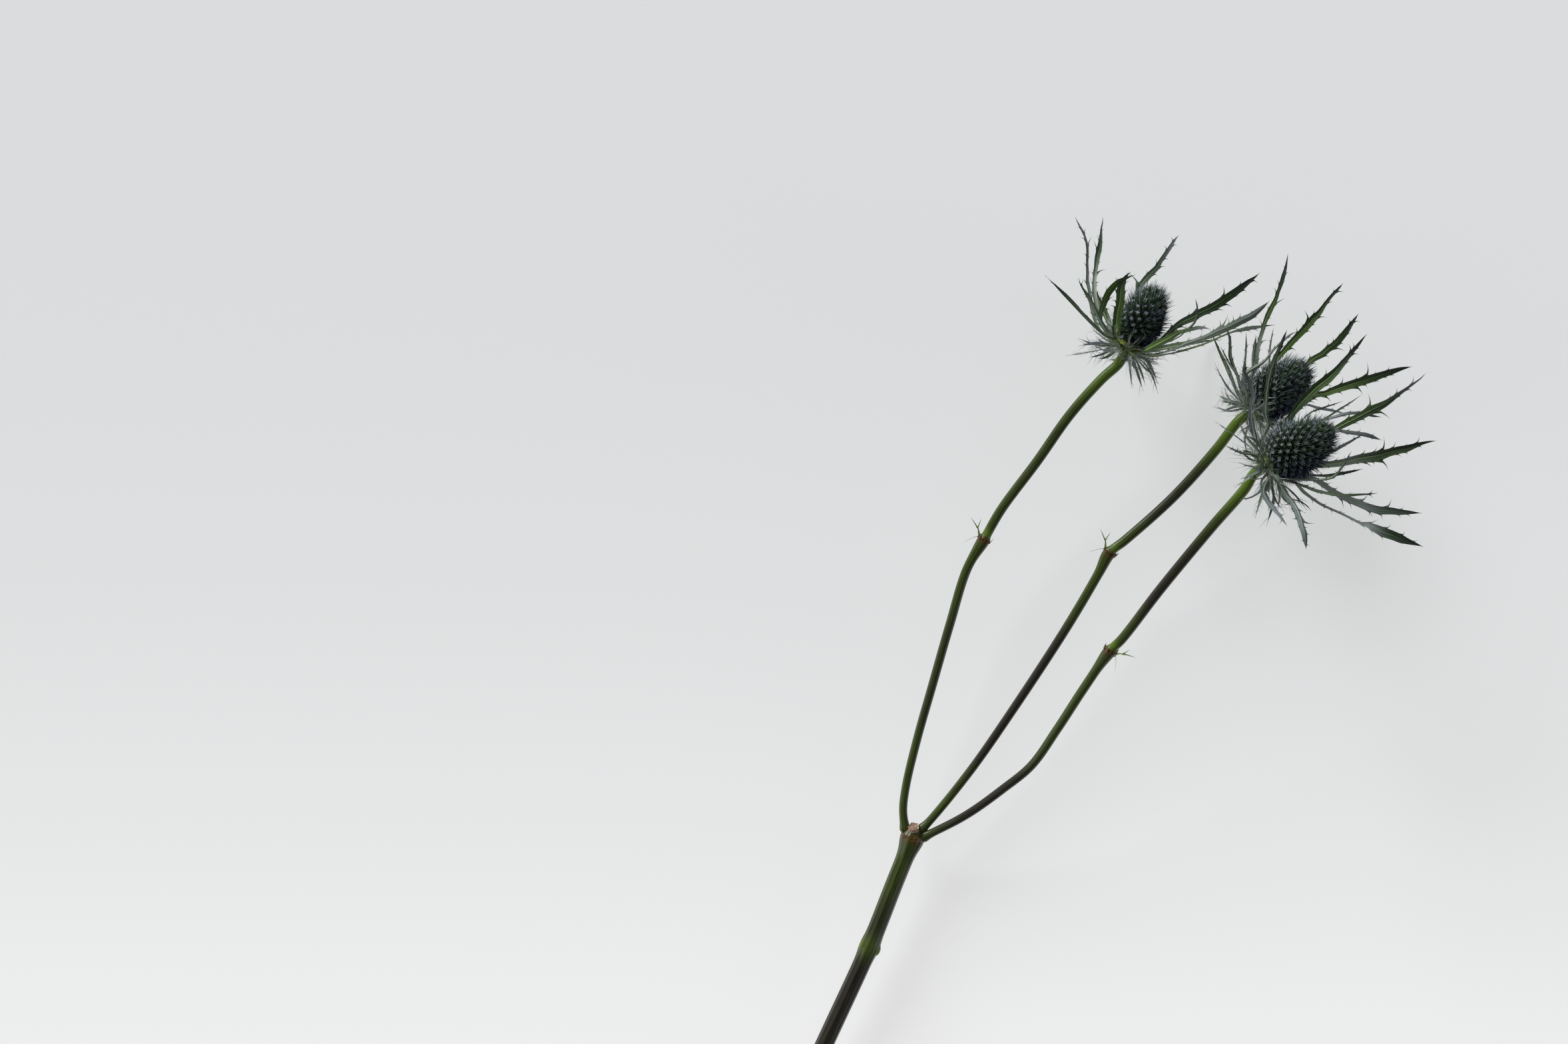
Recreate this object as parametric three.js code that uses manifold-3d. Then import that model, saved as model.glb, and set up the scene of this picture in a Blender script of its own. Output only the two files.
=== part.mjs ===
// A cut stem of sea holly, lying on a flat surface. A ribbed main stem forks into three at a swollen node.
// Each fork has a node of its own and ends in a head: an egg-shaped cone of florets in a ruff of spiny
// bracts. Millimetres, +Z up. All is laid out from the fork, the origin of the plant's own frame.
import * as THREE from "three";
import { mergeVertices } from "three/addons/utils/BufferGeometryUtils.js";
import Module from "manifold-3d";

const wasm = await Module();
wasm.setup();

// ---- Driving dimensions ----

const UP = new THREE.Vector3(0, 0, 1);
const GAP = 0.3;                 // between a head's pieces
const GOLDEN_TURN = 137.508;     // degrees from one floret or bract to the next

// Main stem, from its cut end to the fork. Its ribs are a share of the radius deep.
const MAIN_PATH = [
  [-102, -228, 3.5], [-66, -150, 6.2], [-31.5, -74.5, 9.2], [-15.5, -39.5, 10.5], [-7, -18, 11.4], [0, 0, 12],
  [1, 4, 12.2],
];
const SCAR_POINT = MAIN_PATH[3];
const FORK_POINT = MAIN_PATH[5];
const MAIN_STEM = { cutRadius: 3.5, forkRadius: 3.15, sides: 16, steps: 8 };
const RIB_DEPTH = 0.14;

// Forks. Each path runs from inside the main stem's node to the underside of a head.
const FORK = { lowRadius: 1.45, highRadius: 1.85, sides: 10, steps: 14, straightEnd: 5 };

// The stub of the main stem's own tip, cut off above the fork.
const STUB = { path: [[0, 0, 12], [0.3, 3.6, 15]], lowRadius: 2.7, highRadius: 2.3 };

// Swellings, as a height over the stem's radius and a half length in shares of the stem.
const SCAR_SWELLING = { height: 0.6, halfShare: 0.012 };
const FORK_SWELLING = { height: 1.3, halfShare: 0.014 };
const NODE_SWELLING = { height: 0.75, halfShare: 0.012 };

// Scales that stand in pairs at a node, from the stem's radius there.
const SCAR_SCALES = { stemRadius: 3.7, length: 5, rise: 0.4 };
const NODE_SCALES = { stemRadius: 2.1, length: 5, rise: 1.4 };
const SCALE_HALF_WIDTH = 1.5;
const SCALE_HALF_THICKNESS = 0.7;
const SCALE_ROOT = 0.7;          // of the stem's radius, from its middle

// Heads. The base is the middle of the ruff's collar; heading and rise, in degrees, aim its axis.
const COLLAR = { radius: 4.6, lowRadius: 2.8, highRadius: 4.1, below: 1.5, above: 1.3, sides: 12 };
const HEADS = [
  {
    name: "left",
    base: [75, 174, 30],
    heading: 63,
    rise: 10,
    coneLength: 24.5,
    coneRadius: 10,
    node: [25, 106, 20],
    path: [
      [-2.6, 1, 12], [-3.5, 9.5, 12.5], [-2.5, 18, 13], [1.5, 35, 14], [6.5, 53, 16], [13, 76, 18],
      [19, 95.5, 19], [25, 106, 20], [31, 116.5, 21], [43.5, 133.5, 23.5], [55, 150, 26], [66, 162.5, 28.2],
    ],
    // Turn round the axis from its top, spread from the axis, length and width of each large bract, and
    // the places and the reach of its pairs of teeth.
    bracts: [
      { turn: -172, spread: 32, length: 48, width: 4.6, teeth: [0.68], tooth: 2.2 },
      { turn: -100, spread: 49, length: 49, width: 2.6, teeth: [0.66], tooth: 1.8 },
      { turn: -122, spread: 41, length: 48, width: 2.8, teeth: [0.6], tooth: 2 },
      { turn: -25, spread: 49, length: 37, width: 4.8, teeth: [0.6], tooth: 2 },
      { turn: 102, spread: 36, length: 53, width: 4.6, teeth: [0.58, 0.76], tooth: 2.4 },
      { turn: 66, spread: 46, length: 54, width: 3.2, teeth: [0.62], tooth: 2.2 },
      { turn: 30, spread: 60, length: 38, width: 2.2, teeth: [] },
      { turn: 140, spread: 74, length: 49, width: 4.2, teeth: [0.6], tooth: 2.6 },
      { turn: -152, spread: 76, length: 46, width: 4, teeth: [0.62], tooth: 2.6 },
      { turn: -66, spread: 76, length: 42, width: 3.8, teeth: [0.6], tooth: 2.6 },
      { turn: 5, spread: 92, length: 27, width: 2.4, teeth: [] },
    ],
  },
  {
    name: "middle",
    base: [118.8, 151.6, 32],
    heading: 39,
    rise: 5,
    coneLength: 26,
    coneRadius: 10.8,
    node: [69.3, 101.3, 22.3],
    path: [
      [1.6, 1.4, 12.4], [5, 4.5, 12.9], [20, 23, 14.3], [35.5, 45.5, 16.6], [54.5, 75, 19.5],
      [65.5, 94, 21.5], [69.3, 101.3, 22.3], [74.5, 105.5, 23.2], [91.5, 121, 26.3], [106.5, 138, 29.6],
    ],
    bracts: [
      { turn: -100, spread: 38, length: 55, width: 2.8, teeth: [0.6], tooth: 2 },
      { turn: -151, spread: 25, length: 58, width: 4.4, teeth: [0.66], tooth: 3.2 },
      { turn: 179, spread: 26, length: 56, width: 4.2, teeth: [0.66], tooth: 2.6 },
      { turn: 126, spread: 31, length: 61, width: 4.8, teeth: [0.58, 0.74], tooth: 2.8 },
      { turn: -60, spread: 73, length: 31, width: 1.9, teeth: [] },
      { turn: -40, spread: 84, length: 27, width: 1.9, teeth: [] },
      { turn: -10, spread: 106, length: 23, width: 2.4, teeth: [] },
      { turn: 88, spread: 44, length: 41, width: 2, teeth: [] },
      { turn: 148, spread: 74, length: 50, width: 3.8, teeth: [0.6], tooth: 2.6 },
      { turn: -162, spread: 78, length: 47, width: 3.8, teeth: [0.6], tooth: 2.6 },
      { turn: -122, spread: 80, length: 36, width: 3.4, teeth: [0.62], tooth: 2.4 },
      { turn: 100, spread: 88, length: 34, width: 3, teeth: [0.6], tooth: 2.4 },
    ],
  },
  {
    name: "right",
    base: [119, 131.8, 79],
    heading: 31,
    rise: 25,
    coneLength: 26,
    coneRadius: 11,
    node: [67, 67.5, 50.3],
    path: [
      [2.4, -1, 12.4], [18.5, 8, 19], [31.5, 18, 26], [41, 26.5, 31.5], [49.5, 39.5, 38], [58.5, 54.5, 45],
      [67, 67.5, 50.3], [70.8, 71.5, 52.5], [83.2, 88.7, 60], [99.7, 110, 69.2], [110.6, 123.4, 75],
    ],
    bracts: [
      { turn: 179, spread: 31, length: 62, width: 4.8, teeth: [0.58, 0.72], tooth: 2.6 },
      { turn: 145, spread: 42, length: 60, width: 5, teeth: [0.6, 0.82], tooth: 3.6 },
      { turn: -114, spread: 27, length: 54, width: 4.4, teeth: [0.68], tooth: 2 },
      { turn: -75, spread: 52, length: 50, width: 2.8, teeth: [0.62], tooth: 1.8 },
      { turn: 112, spread: 54, length: 53, width: 4, teeth: [0.66, 0.8], tooth: 2.2 },
      { turn: 99, spread: 61, length: 58, width: 3.8, teeth: [0.76, 0.88], tooth: 2 },
      { turn: 43, spread: 85, length: 41, width: 3.8, teeth: [0.66], tooth: 2.6 },
      { turn: 28, spread: 93, length: 26, width: 3, teeth: [] },
      { turn: 50, spread: 42, length: 37, width: 1.9, teeth: [] },
      { turn: 70, spread: 44, length: 38, width: 1.9, teeth: [] },
      { turn: 157, spread: 56, length: 38, width: 2, teeth: [] },
      { turn: -24, spread: 94, length: 28, width: 2.4, teeth: [] },
      { turn: -38, spread: 80, length: 33, width: 2, teeth: [] },
      { turn: -62, spread: 78, length: 30, width: 4, teeth: [0.62], tooth: 2 },
      { turn: -150, spread: 62, length: 34, width: 3, teeth: [0.6], tooth: 2.2 },
    ],
  },
];

// Bracts. Their edges stand up from the midrib by a share of the half width.
const BLADE_FOLD = 0.3;
const LARGE_BRACT = { thickness: 0.8, steps: 6, rootHeight: -0.4 };
const TOOTH = { base: 3.2, sweep: 1.6 };     // along the edge, and towards the blade's tip

// The midrib's curve: a root in the collar, a foot that leaves it sideways, a knee and the tip.
const MIDRIB = { rootReach: 2, footSpread: 97, footShare: 0.22, kneeShare: 0.45, bulgeShare: 0.08 };

// The blade's outline in shares of its length and half width.
const OUTLINE = { footWidth: 0.45, widest: 0.575, pointStart: 0.62, pointPower: 1.1, thinEnd: 0.17 };

// Short narrow bracts in a fringe under the large ones.
const FRINGE = {
  count: 15,
  length: [12, 23],
  spread: [88, 124],
  width: 1.5,
  thickness: 0.9,
  rootHeight: -0.9,
  shares: [0, 0.35, 0.7, 1],
};

// The cone's core, an egg in shares of its length.
const CORE = { widest: 0.42, footShare: 0.12, sides: 9, rings: [0, 0.2, 0.42, 0.66, 0.85, 0.96] };

// Florets: four-sided spikes that stand out of the core, aimed from a focus on its axis.
const FLORET = {
  count: 112,
  height: 3.9,
  radius: 1.5,
  sides: 4,
  sunk: 1.4,
  startShare: 0.1,
  focusShare: 0.3,
};

// A bract that would pass through the surface bends, from this height on, to lie along it.
const BEND_HEIGHT = 4;

// ---- Small tools ----

const radians = THREE.MathUtils.degToRad;
const lerp = THREE.MathUtils.lerp;

// A draw between 0 and 1, the same each time for the same number and stream.
function draw(number, stream) {
  const wave = Math.sin(number * 127.1 + stream * 311.7) * 43758.5453;
  return wave - Math.floor(wave);
}

// Merges the shared corners of a geometry and drops triangles that have closed to a line or a point.
function weld(geometry) {
  const bare = new THREE.BufferGeometry();
  bare.setAttribute("position", geometry.getAttribute("position"));
  if (geometry.index) {
    bare.setIndex(geometry.index);
  }
  const merged = mergeVertices(bare, 1e-4);
  const index = merged.index.array;
  const kept = [];
  for (let i = 0; i < index.length; i += 3) {
    const [a, b, c] = index.slice(i, i + 3);
    if (a !== b && b !== c && c !== a) {
      kept.push(a, b, c);
    }
  }
  merged.setIndex(kept);
  return merged;
}

function toSolid(geometry) {
  const welded = weld(geometry);
  return new wasm.Manifold(new wasm.Mesh({
    numProp: 3,
    vertProperties: Float32Array.from(welded.getAttribute("position").array),
    triVerts: Uint32Array.from(welded.index.array),
  }));
}

function toGeometry(solid) {
  const { vertProperties, triVerts } = solid.getMesh();
  const geometry = new THREE.BufferGeometry();
  geometry.setAttribute("position", new THREE.BufferAttribute(vertProperties, 3));
  geometry.setIndex(new THREE.BufferAttribute(triVerts, 1));
  return geometry;
}

function fusedMesh(name, geometries, color, roughness) {
  const solid = geometries.map(toSolid).reduce((joined, piece) => joined.add(piece));
  const material = new THREE.MeshStandardMaterial({ color, roughness, metalness: 0 });
  const mesh = new THREE.Mesh(toGeometry(solid), material);
  mesh.name = name;
  return mesh;
}

// Extrudes an outline in steps and lays the steps where place(share, x, y) says, for each share from 0 to 1.
function loft(outline, shares, place) {
  const steps = shares.length - 1;
  const shape = new THREE.Shape(outline.map(([x, y]) => new THREE.Vector2(x, y)));
  const solid = new THREE.ExtrudeGeometry(shape, { depth: 1, steps, bevelEnabled: false });
  const corners = solid.getAttribute("position");
  for (let i = 0; i < corners.count; i += 1) {
    const step = Math.round(corners.getZ(i) * steps);
    const spot = place(shares[step], corners.getX(i), corners.getY(i));
    corners.setXYZ(i, spot.x, spot.y, spot.z);
  }
  return solid;
}

const DIAMOND = [[-1, 0], [0, -1], [1, 0], [0, 1]];

// Shares from 0 to 1 in even steps, with three of them round each of the given places.
function sharesWith(steps, places, spacing) {
  const shares = new Set();
  for (let i = 0; i <= steps; i += 1) {
    const share = i / steps;
    if (share === 0 || share === 1 || places.every((place) => Math.abs(share - place) > 2 * spacing)) {
      shares.add(share);
    }
  }
  for (const place of places) {
    [-spacing, 0, spacing].forEach((offset) => shares.add(place + offset));
  }
  return [...shares].sort((a, b) => a - b);
}

function curveThrough(points) {
  return new THREE.CatmullRomCurve3(points.map((point) => new THREE.Vector3(...point)), false, "centripetal");
}

// The place along a curve that is nearest to a point.
function shareNear(curve, point) {
  const target = new THREE.Vector3(...point);
  const samples = 400;
  const distanceAt = (sample) => curve.getPointAt(sample / samples).distanceTo(target);
  let best = 0;
  for (let i = 1; i <= samples; i += 1) {
    if (distanceAt(i) < distanceAt(best)) {
      best = i;
    }
  }
  return best / samples;
}

// ---- Stems ----

function ribbedOutline(sides) {
  return Array.from({ length: sides }, (_, i) => {
    const angle = (2 * Math.PI * i) / sides - Math.PI / 2;
    const radius = i % 2 === 0 ? 1 : 1 - RIB_DEPTH;
    return [radius * Math.cos(angle), radius * Math.sin(angle)];
  });
}

// A level direction square to a curve, to its left.
function leftOf(curve, share) {
  return new THREE.Vector3().crossVectors(UP, curve.getTangentAt(share)).normalize();
}

// A ribbed stem along a curve. radiusAt(share) is its radius over the ribs.
function stemAlong(curve, sides, shares, radiusAt) {
  return loft(ribbedOutline(sides), shares, (share, x, y) => {
    const side = leftOf(curve, share);
    const over = new THREE.Vector3().crossVectors(curve.getTangentAt(share), side);
    return curve.getPointAt(share)
      .addScaledVector(side, x * radiusAt(share))
      .addScaledVector(over, y * radiusAt(share));
  });
}

// The height of a smooth swelling round a place on a stem.
function swellingAt(share, place, { height, halfShare }) {
  return height * Math.exp(-(((share - place) / halfShare) ** 2));
}

function mainStem(curve, scar) {
  const fork = shareNear(curve, FORK_POINT);
  const shares = sharesWith(MAIN_STEM.steps, [scar, fork], SCAR_SWELLING.halfShare);
  return stemAlong(curve, MAIN_STEM.sides, shares, (share) => (
    lerp(MAIN_STEM.cutRadius, MAIN_STEM.forkRadius, share)
      + swellingAt(share, scar, SCAR_SWELLING)
      + swellingAt(share, fork, FORK_SWELLING)
  ));
}

function cutStub() {
  const radiusAt = (share) => lerp(STUB.lowRadius, STUB.highRadius, share);
  return stemAlong(curveThrough(STUB.path), FORK.sides, [0, 0.5, 1], radiusAt);
}

// A pair of pointed scales, one on each side of a stem.
function scalePair(curve, place, { stemRadius, length, rise }) {
  const tangent = curve.getTangentAt(place);
  return [-1, 1].map((hand) => {
    const outward = leftOf(curve, place).multiplyScalar(hand);
    const root = curve.getPointAt(place).addScaledVector(outward, stemRadius * SCALE_ROOT);
    return loft(DIAMOND, [0, 0.5, 1], (share, x, y) => {
      const taper = 1 - share;
      const stand = stemRadius * (1 - SCALE_ROOT) * share + rise * share * share;
      return root.clone()
        .addScaledVector(tangent, length * share)
        .addScaledVector(outward, stand + y * taper * SCALE_HALF_THICKNESS)
        .addScaledVector(UP, -x * hand * taper * SCALE_HALF_WIDTH);
    });
  });
}

function headAxis(head) {
  const heading = radians(head.heading);
  const rise = radians(head.rise);
  return new THREE.Vector3(
    Math.cos(rise) * Math.cos(heading),
    Math.cos(rise) * Math.sin(heading),
    Math.sin(rise),
  );
}

// A fork's curve ends straight under the collar of its head.
function forkCurve(head) {
  const axis = headAxis(head);
  const end = new THREE.Vector3(...head.base).addScaledVector(axis, -COLLAR.below - GAP);
  const beforeEnd = end.clone().addScaledVector(axis, -FORK.straightEnd);
  return curveThrough([...head.path, beforeEnd.toArray(), end.toArray()]);
}

function forkStem(head) {
  const curve = forkCurve(head);
  const node = shareNear(curve, head.node);
  const shares = sharesWith(FORK.steps, [node], NODE_SWELLING.halfShare);
  const stem = stemAlong(curve, FORK.sides, shares, (share) => (
    lerp(FORK.lowRadius, FORK.highRadius, share) + swellingAt(share, node, NODE_SWELLING)
  ));
  return [stem, ...scalePair(curve, node, NODE_SCALES)];
}

function stemMesh() {
  const curve = curveThrough(MAIN_PATH);
  const scar = shareNear(curve, SCAR_POINT);
  const pieces = [
    mainStem(curve, scar),
    cutStub(),
    ...scalePair(curve, scar, SCAR_SCALES),
    ...HEADS.flatMap(forkStem),
  ];
  return fusedMesh("stem", pieces, 0x5a7434, 0.55);
}

// ---- Heads ----

// A group at a head's base with its own +Z along the head's axis and its +X towards the top.
function headGroup(head) {
  const axis = headAxis(head);
  const top = UP.clone().addScaledVector(axis, -axis.z).normalize();
  const side = new THREE.Vector3().crossVectors(axis, top);
  const group = new THREE.Group();
  group.position.set(...head.base);
  group.quaternion.setFromRotationMatrix(new THREE.Matrix4().makeBasis(top, side, axis));
  group.updateMatrix();
  return group;
}

// Keeps a point of a head above the surface. From bend mm above it on, the point is lifted smoothly.
function liftOff(point, bend, group) {
  const inPlant = point.clone().applyMatrix4(group.matrix);
  if (inPlant.z < bend) {
    inPlant.z = inPlant.z > -bend ? (inPlant.z + bend) ** 2 / (4 * bend) : 0;
  }
  return inPlant.applyMatrix4(group.matrix.clone().invert());
}

function polar(turn, spread, reach) {
  const across = reach * Math.sin(radians(spread));
  return new THREE.Vector3(
    across * Math.cos(radians(turn)),
    across * Math.sin(radians(turn)),
    reach * Math.cos(radians(spread)),
  );
}

// The midrib leaves the collar sideways, bends up round the cone and runs on to the bract's tip.
function midrib(bract, rootHeight) {
  const root = polar(bract.turn, 90, MIDRIB.rootReach).setZ(rootHeight);
  const tip = polar(bract.turn, bract.spread, bract.length);
  const footSpread = Math.max(MIDRIB.footSpread, bract.spread);
  const foot = root.clone().add(polar(bract.turn, footSpread, MIDRIB.footShare * bract.length));
  const bulge = Math.max(MIDRIB.bulgeShare * bract.length * Math.cos(radians(bract.spread)), 0);
  const knee = root.clone().lerp(tip, MIDRIB.kneeShare).add(polar(bract.turn, 90, bulge));
  return new THREE.CubicBezierCurve3(root, foot, knee, tip);
}

// Half width along a blade: narrow at its foot, widest past the middle, drawn out to a point.
function bladeProfile(share) {
  const growth = Math.sin((Math.PI / 2) * Math.min(share / OUTLINE.widest, 1));
  const towardsTip = Math.max((share - OUTLINE.pointStart) / (1 - OUTLINE.pointStart), 0);
  const narrowing = Math.max(Math.cos((Math.PI / 2) * towardsTip), 0) ** OUTLINE.pointPower;
  return lerp(OUTLINE.footWidth, 1, growth) * narrowing;
}

function blade(bract, { thickness, rootHeight }, shares, group) {
  const curve = midrib(bract, rootHeight);
  const across = polar(bract.turn + 90, 90, 1);
  return loft(DIAMOND, shares, (share, x, y) => {
    const tangent = curve.getTangent(share);
    const inward = new THREE.Vector3().crossVectors(tangent, across).normalize();
    const halfWidth = bladeProfile(share) * bract.width / 2;
    const atTooth = x !== 0 && bract.teeth.includes(share);
    const depth = y * thickness / 2 * Math.min(1, (1 - share) / OUTLINE.thinEnd);
    const spot = liftOff(curve.getPoint(share), BEND_HEIGHT, group)
      .addScaledVector(across, x * (halfWidth + (atTooth ? bract.tooth : 0)))
      .addScaledVector(inward, Math.abs(x) * halfWidth * BLADE_FOLD + depth)
      .addScaledVector(tangent, atTooth ? TOOTH.sweep : 0);
    return liftOff(spot, 0, group);
  });
}

function largeBract(bract, group) {
  const shares = sharesWith(LARGE_BRACT.steps, bract.teeth, TOOTH.base / 2 / bract.length);
  return blade(bract, LARGE_BRACT, shares, group);
}

function fringeBract(number, group) {
  const bract = {
    turn: number * GOLDEN_TURN,
    spread: lerp(...FRINGE.spread, draw(number, 1)),
    length: lerp(...FRINGE.length, draw(number, 2)),
    width: FRINGE.width,
    teeth: [],
  };
  return blade(bract, FRINGE, FRINGE.shares, group);
}

function ruffMesh(head, group) {
  const profile = [
    [0, -COLLAR.below],
    [COLLAR.lowRadius, -COLLAR.below],
    [COLLAR.radius, 0],
    [COLLAR.highRadius, COLLAR.above],
    [0, COLLAR.above],
  ].map(([x, y]) => new THREE.Vector2(x, y));
  const pieces = [
    new THREE.LatheGeometry(profile, COLLAR.sides).rotateX(Math.PI / 2),
    ...head.bracts.map((bract) => largeBract(bract, group)),
    ...Array.from({ length: FRINGE.count }, (_, number) => fringeBract(number, group)),
  ];
  return fusedMesh(`ruff_${head.name}`, pieces, 0x55774a, 0.6);
}

// The radius of the cone's core at a share of its length, as a share of its largest radius.
function coreProfile(share) {
  const reach = share < CORE.widest
    ? (CORE.widest - share) / (CORE.widest + CORE.footShare)
    : (share - CORE.widest) / (1 - CORE.widest);
  return Math.sqrt(Math.max(1 - reach * reach, 0));
}

// Shares of the core's length at equal shares of its surface, from the lowest floret to the top.
function floretShares() {
  const samples = 200;
  const areas = [0];
  for (let i = 0; i < samples; i += 1) {
    areas.push(areas[i] + coreProfile((i + 0.5) / samples));
  }
  const lowest = areas[Math.round(FLORET.startShare * samples)];
  return Array.from({ length: FLORET.count }, (_, number) => {
    const wanted = lerp(lowest, areas[samples], (number + 0.5) / FLORET.count);
    return areas.findIndex((area) => area >= wanted) / samples;
  });
}

// Each floret stands a golden turn on from the one below it and points no lower than sideways.
function floret(number, share, radius, length, foot) {
  const around = radius * coreProfile(share);
  const seat = polar(number * GOLDEN_TURN, 90, around).setZ(foot + length * share);
  const outward = seat.clone().sub(new THREE.Vector3(0, 0, foot + length * FLORET.focusShare)).normalize();
  outward.setZ(Math.max(outward.z, 0)).normalize();
  const height = FLORET.height + FLORET.sunk;
  return new THREE.ConeGeometry(FLORET.radius, height, FLORET.sides, 1)
    .translate(0, height / 2 - FLORET.sunk, 0)
    .applyQuaternion(new THREE.Quaternion().setFromUnitVectors(new THREE.Vector3(0, 1, 0), outward))
    .translate(seat.x, seat.y, seat.z);
}

function coneMesh(head) {
  const length = head.coneLength - FLORET.height;
  const radius = head.coneRadius - FLORET.height;
  const foot = COLLAR.above + GAP;
  const profile = [
    new THREE.Vector2(0, foot),
    ...CORE.rings.map((share) => new THREE.Vector2(radius * coreProfile(share), foot + length * share)),
    new THREE.Vector2(0, foot + length),
  ];
  const pieces = [
    new THREE.LatheGeometry(profile, CORE.sides).rotateX(Math.PI / 2),
    ...floretShares().map((share, number) => floret(number, share, radius, length, foot)),
  ];
  return fusedMesh(`cone_${head.name}`, pieces, 0x35465a, 0.6);
}

// ---- The plant ----

const plant = new THREE.Group();
plant.add(stemMesh());
for (const head of HEADS) {
  const group = headGroup(head);
  group.add(ruffMesh(head, group), coneMesh(head));
  plant.add(group);
}

// The part's origin is under the middle of the plant, on the surface that it lies on.
plant.updateMatrixWorld(true);
const box = new THREE.Box3().setFromObject(plant, true);
const middle = box.getCenter(new THREE.Vector3());
plant.position.set(-middle.x, -middle.y, -box.min.z);

const part = new THREE.Group();
part.add(plant);

export default part;
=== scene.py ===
"""A cut stem of sea holly that lies on a pale floor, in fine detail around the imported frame.

The plant is laid out in millimetres from its fork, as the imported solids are. Each head has a frame of
its own: +Z along the head's axis, +X towards its top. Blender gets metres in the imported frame.
"""
import math

import bpy
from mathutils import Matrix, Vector
import numpy as np


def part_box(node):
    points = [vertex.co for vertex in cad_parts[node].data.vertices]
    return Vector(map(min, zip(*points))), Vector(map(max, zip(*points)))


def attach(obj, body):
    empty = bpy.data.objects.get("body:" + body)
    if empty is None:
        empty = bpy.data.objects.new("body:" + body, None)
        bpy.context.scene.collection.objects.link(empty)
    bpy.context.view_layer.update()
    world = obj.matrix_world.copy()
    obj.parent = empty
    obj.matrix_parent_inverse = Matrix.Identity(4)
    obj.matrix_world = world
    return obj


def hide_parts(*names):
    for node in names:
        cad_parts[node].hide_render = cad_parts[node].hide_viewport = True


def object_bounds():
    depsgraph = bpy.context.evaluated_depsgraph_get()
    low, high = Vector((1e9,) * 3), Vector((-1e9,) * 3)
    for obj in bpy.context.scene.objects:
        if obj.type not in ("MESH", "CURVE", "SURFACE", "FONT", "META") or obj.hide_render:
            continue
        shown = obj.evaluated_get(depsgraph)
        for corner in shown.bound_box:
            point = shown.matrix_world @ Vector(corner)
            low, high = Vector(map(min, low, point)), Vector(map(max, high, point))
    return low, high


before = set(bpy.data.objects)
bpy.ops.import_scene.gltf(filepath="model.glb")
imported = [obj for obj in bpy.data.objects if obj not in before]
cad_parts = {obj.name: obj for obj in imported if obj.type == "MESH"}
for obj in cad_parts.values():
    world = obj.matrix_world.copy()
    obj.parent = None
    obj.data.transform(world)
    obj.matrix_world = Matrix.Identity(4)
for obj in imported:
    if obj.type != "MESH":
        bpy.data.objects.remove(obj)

CAD_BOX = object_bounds()

# ---- Driving sizes, in millimetres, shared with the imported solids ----

GAP = 0.3                     # between a head's collar and the stem below it or the cone above it
GOLDEN_TURN = 137.508         # in degrees
UP = np.array([0.0, 0.0, 1.0])
MAIN_PATH = [
    (-102, -228, 3.5), (-66, -150, 6.2), (-31.5, -74.5, 9.2), (-15.5, -39.5, 10.5), (-7, -18, 11.4),
    (0, 0, 12), (1, 4, 12.2),
]
SCAR_POINT = MAIN_PATH[3]
FORK_POINT = MAIN_PATH[5]
CUT_RADIUS = 3.5
CUT_VALLEY = 0.86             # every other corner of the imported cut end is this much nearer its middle
CUT_SIDES = 16
MAIN_RADIUS = 3.15
FORK_RADII = (1.45, 1.85)
STRAIGHT_END = 5
STUB_PATH = [(0, 0, 12), (0.2, 2.2, 13.7), (0.3, 3.6, 15)]
COLLAR = {"radius": 4.6, "low_radius": 2.8, "high_radius": 4.1, "below": 1.5, "above": 1.3}
MIDRIB = {"root_reach": 2, "foot_spread": 97, "foot_share": 0.22, "knee_share": 0.45, "bulge_share": 0.08}
LARGE_ROOT_HEIGHT = -0.4
FRINGE_ROOT_HEIGHT = -0.9
BEND_HEIGHT = 4               # blades' middles bend along the floor from this height down
SKIN_BEND_HEIGHT = 0.7        # and their skins, with the spines and bristles, from this one

# The camera looks straight down. It stands this far from the fork and over the floor, in millimetres.
CAMERA_FROM_FORK = (-46.0, 112.1)
CAMERA_HEIGHT = 1333.0
LENS, SENSOR = 85.0, 36.0
IMAGE = (2355, 1568)
FOCAL = LENS / SENSOR * IMAGE[0]

# line is the way that a bract's middle shows from the camera, in the image's pixels, with its width there.
# teeth are (foot x, foot y, tip x, tip y) in pixels where there is a line, else (place, side, reach).
# silver and bright are the shares of the silvery look and of fresh green, from root to tip, and blue is
# how steely the silver is. face is 1 where the upper side shows and -1 where the lower one does.
# Along some blades that lie in shade, silver, bright and blue are set above the blade's own colour, as
# painted light.


def bract_at(turn, spread, length, **rest):
    """A bract: turn round the axis from the head's top and spread from the axis in degrees, and length."""
    return dict(turn=turn, spread=spread, length=length, **rest)


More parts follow.
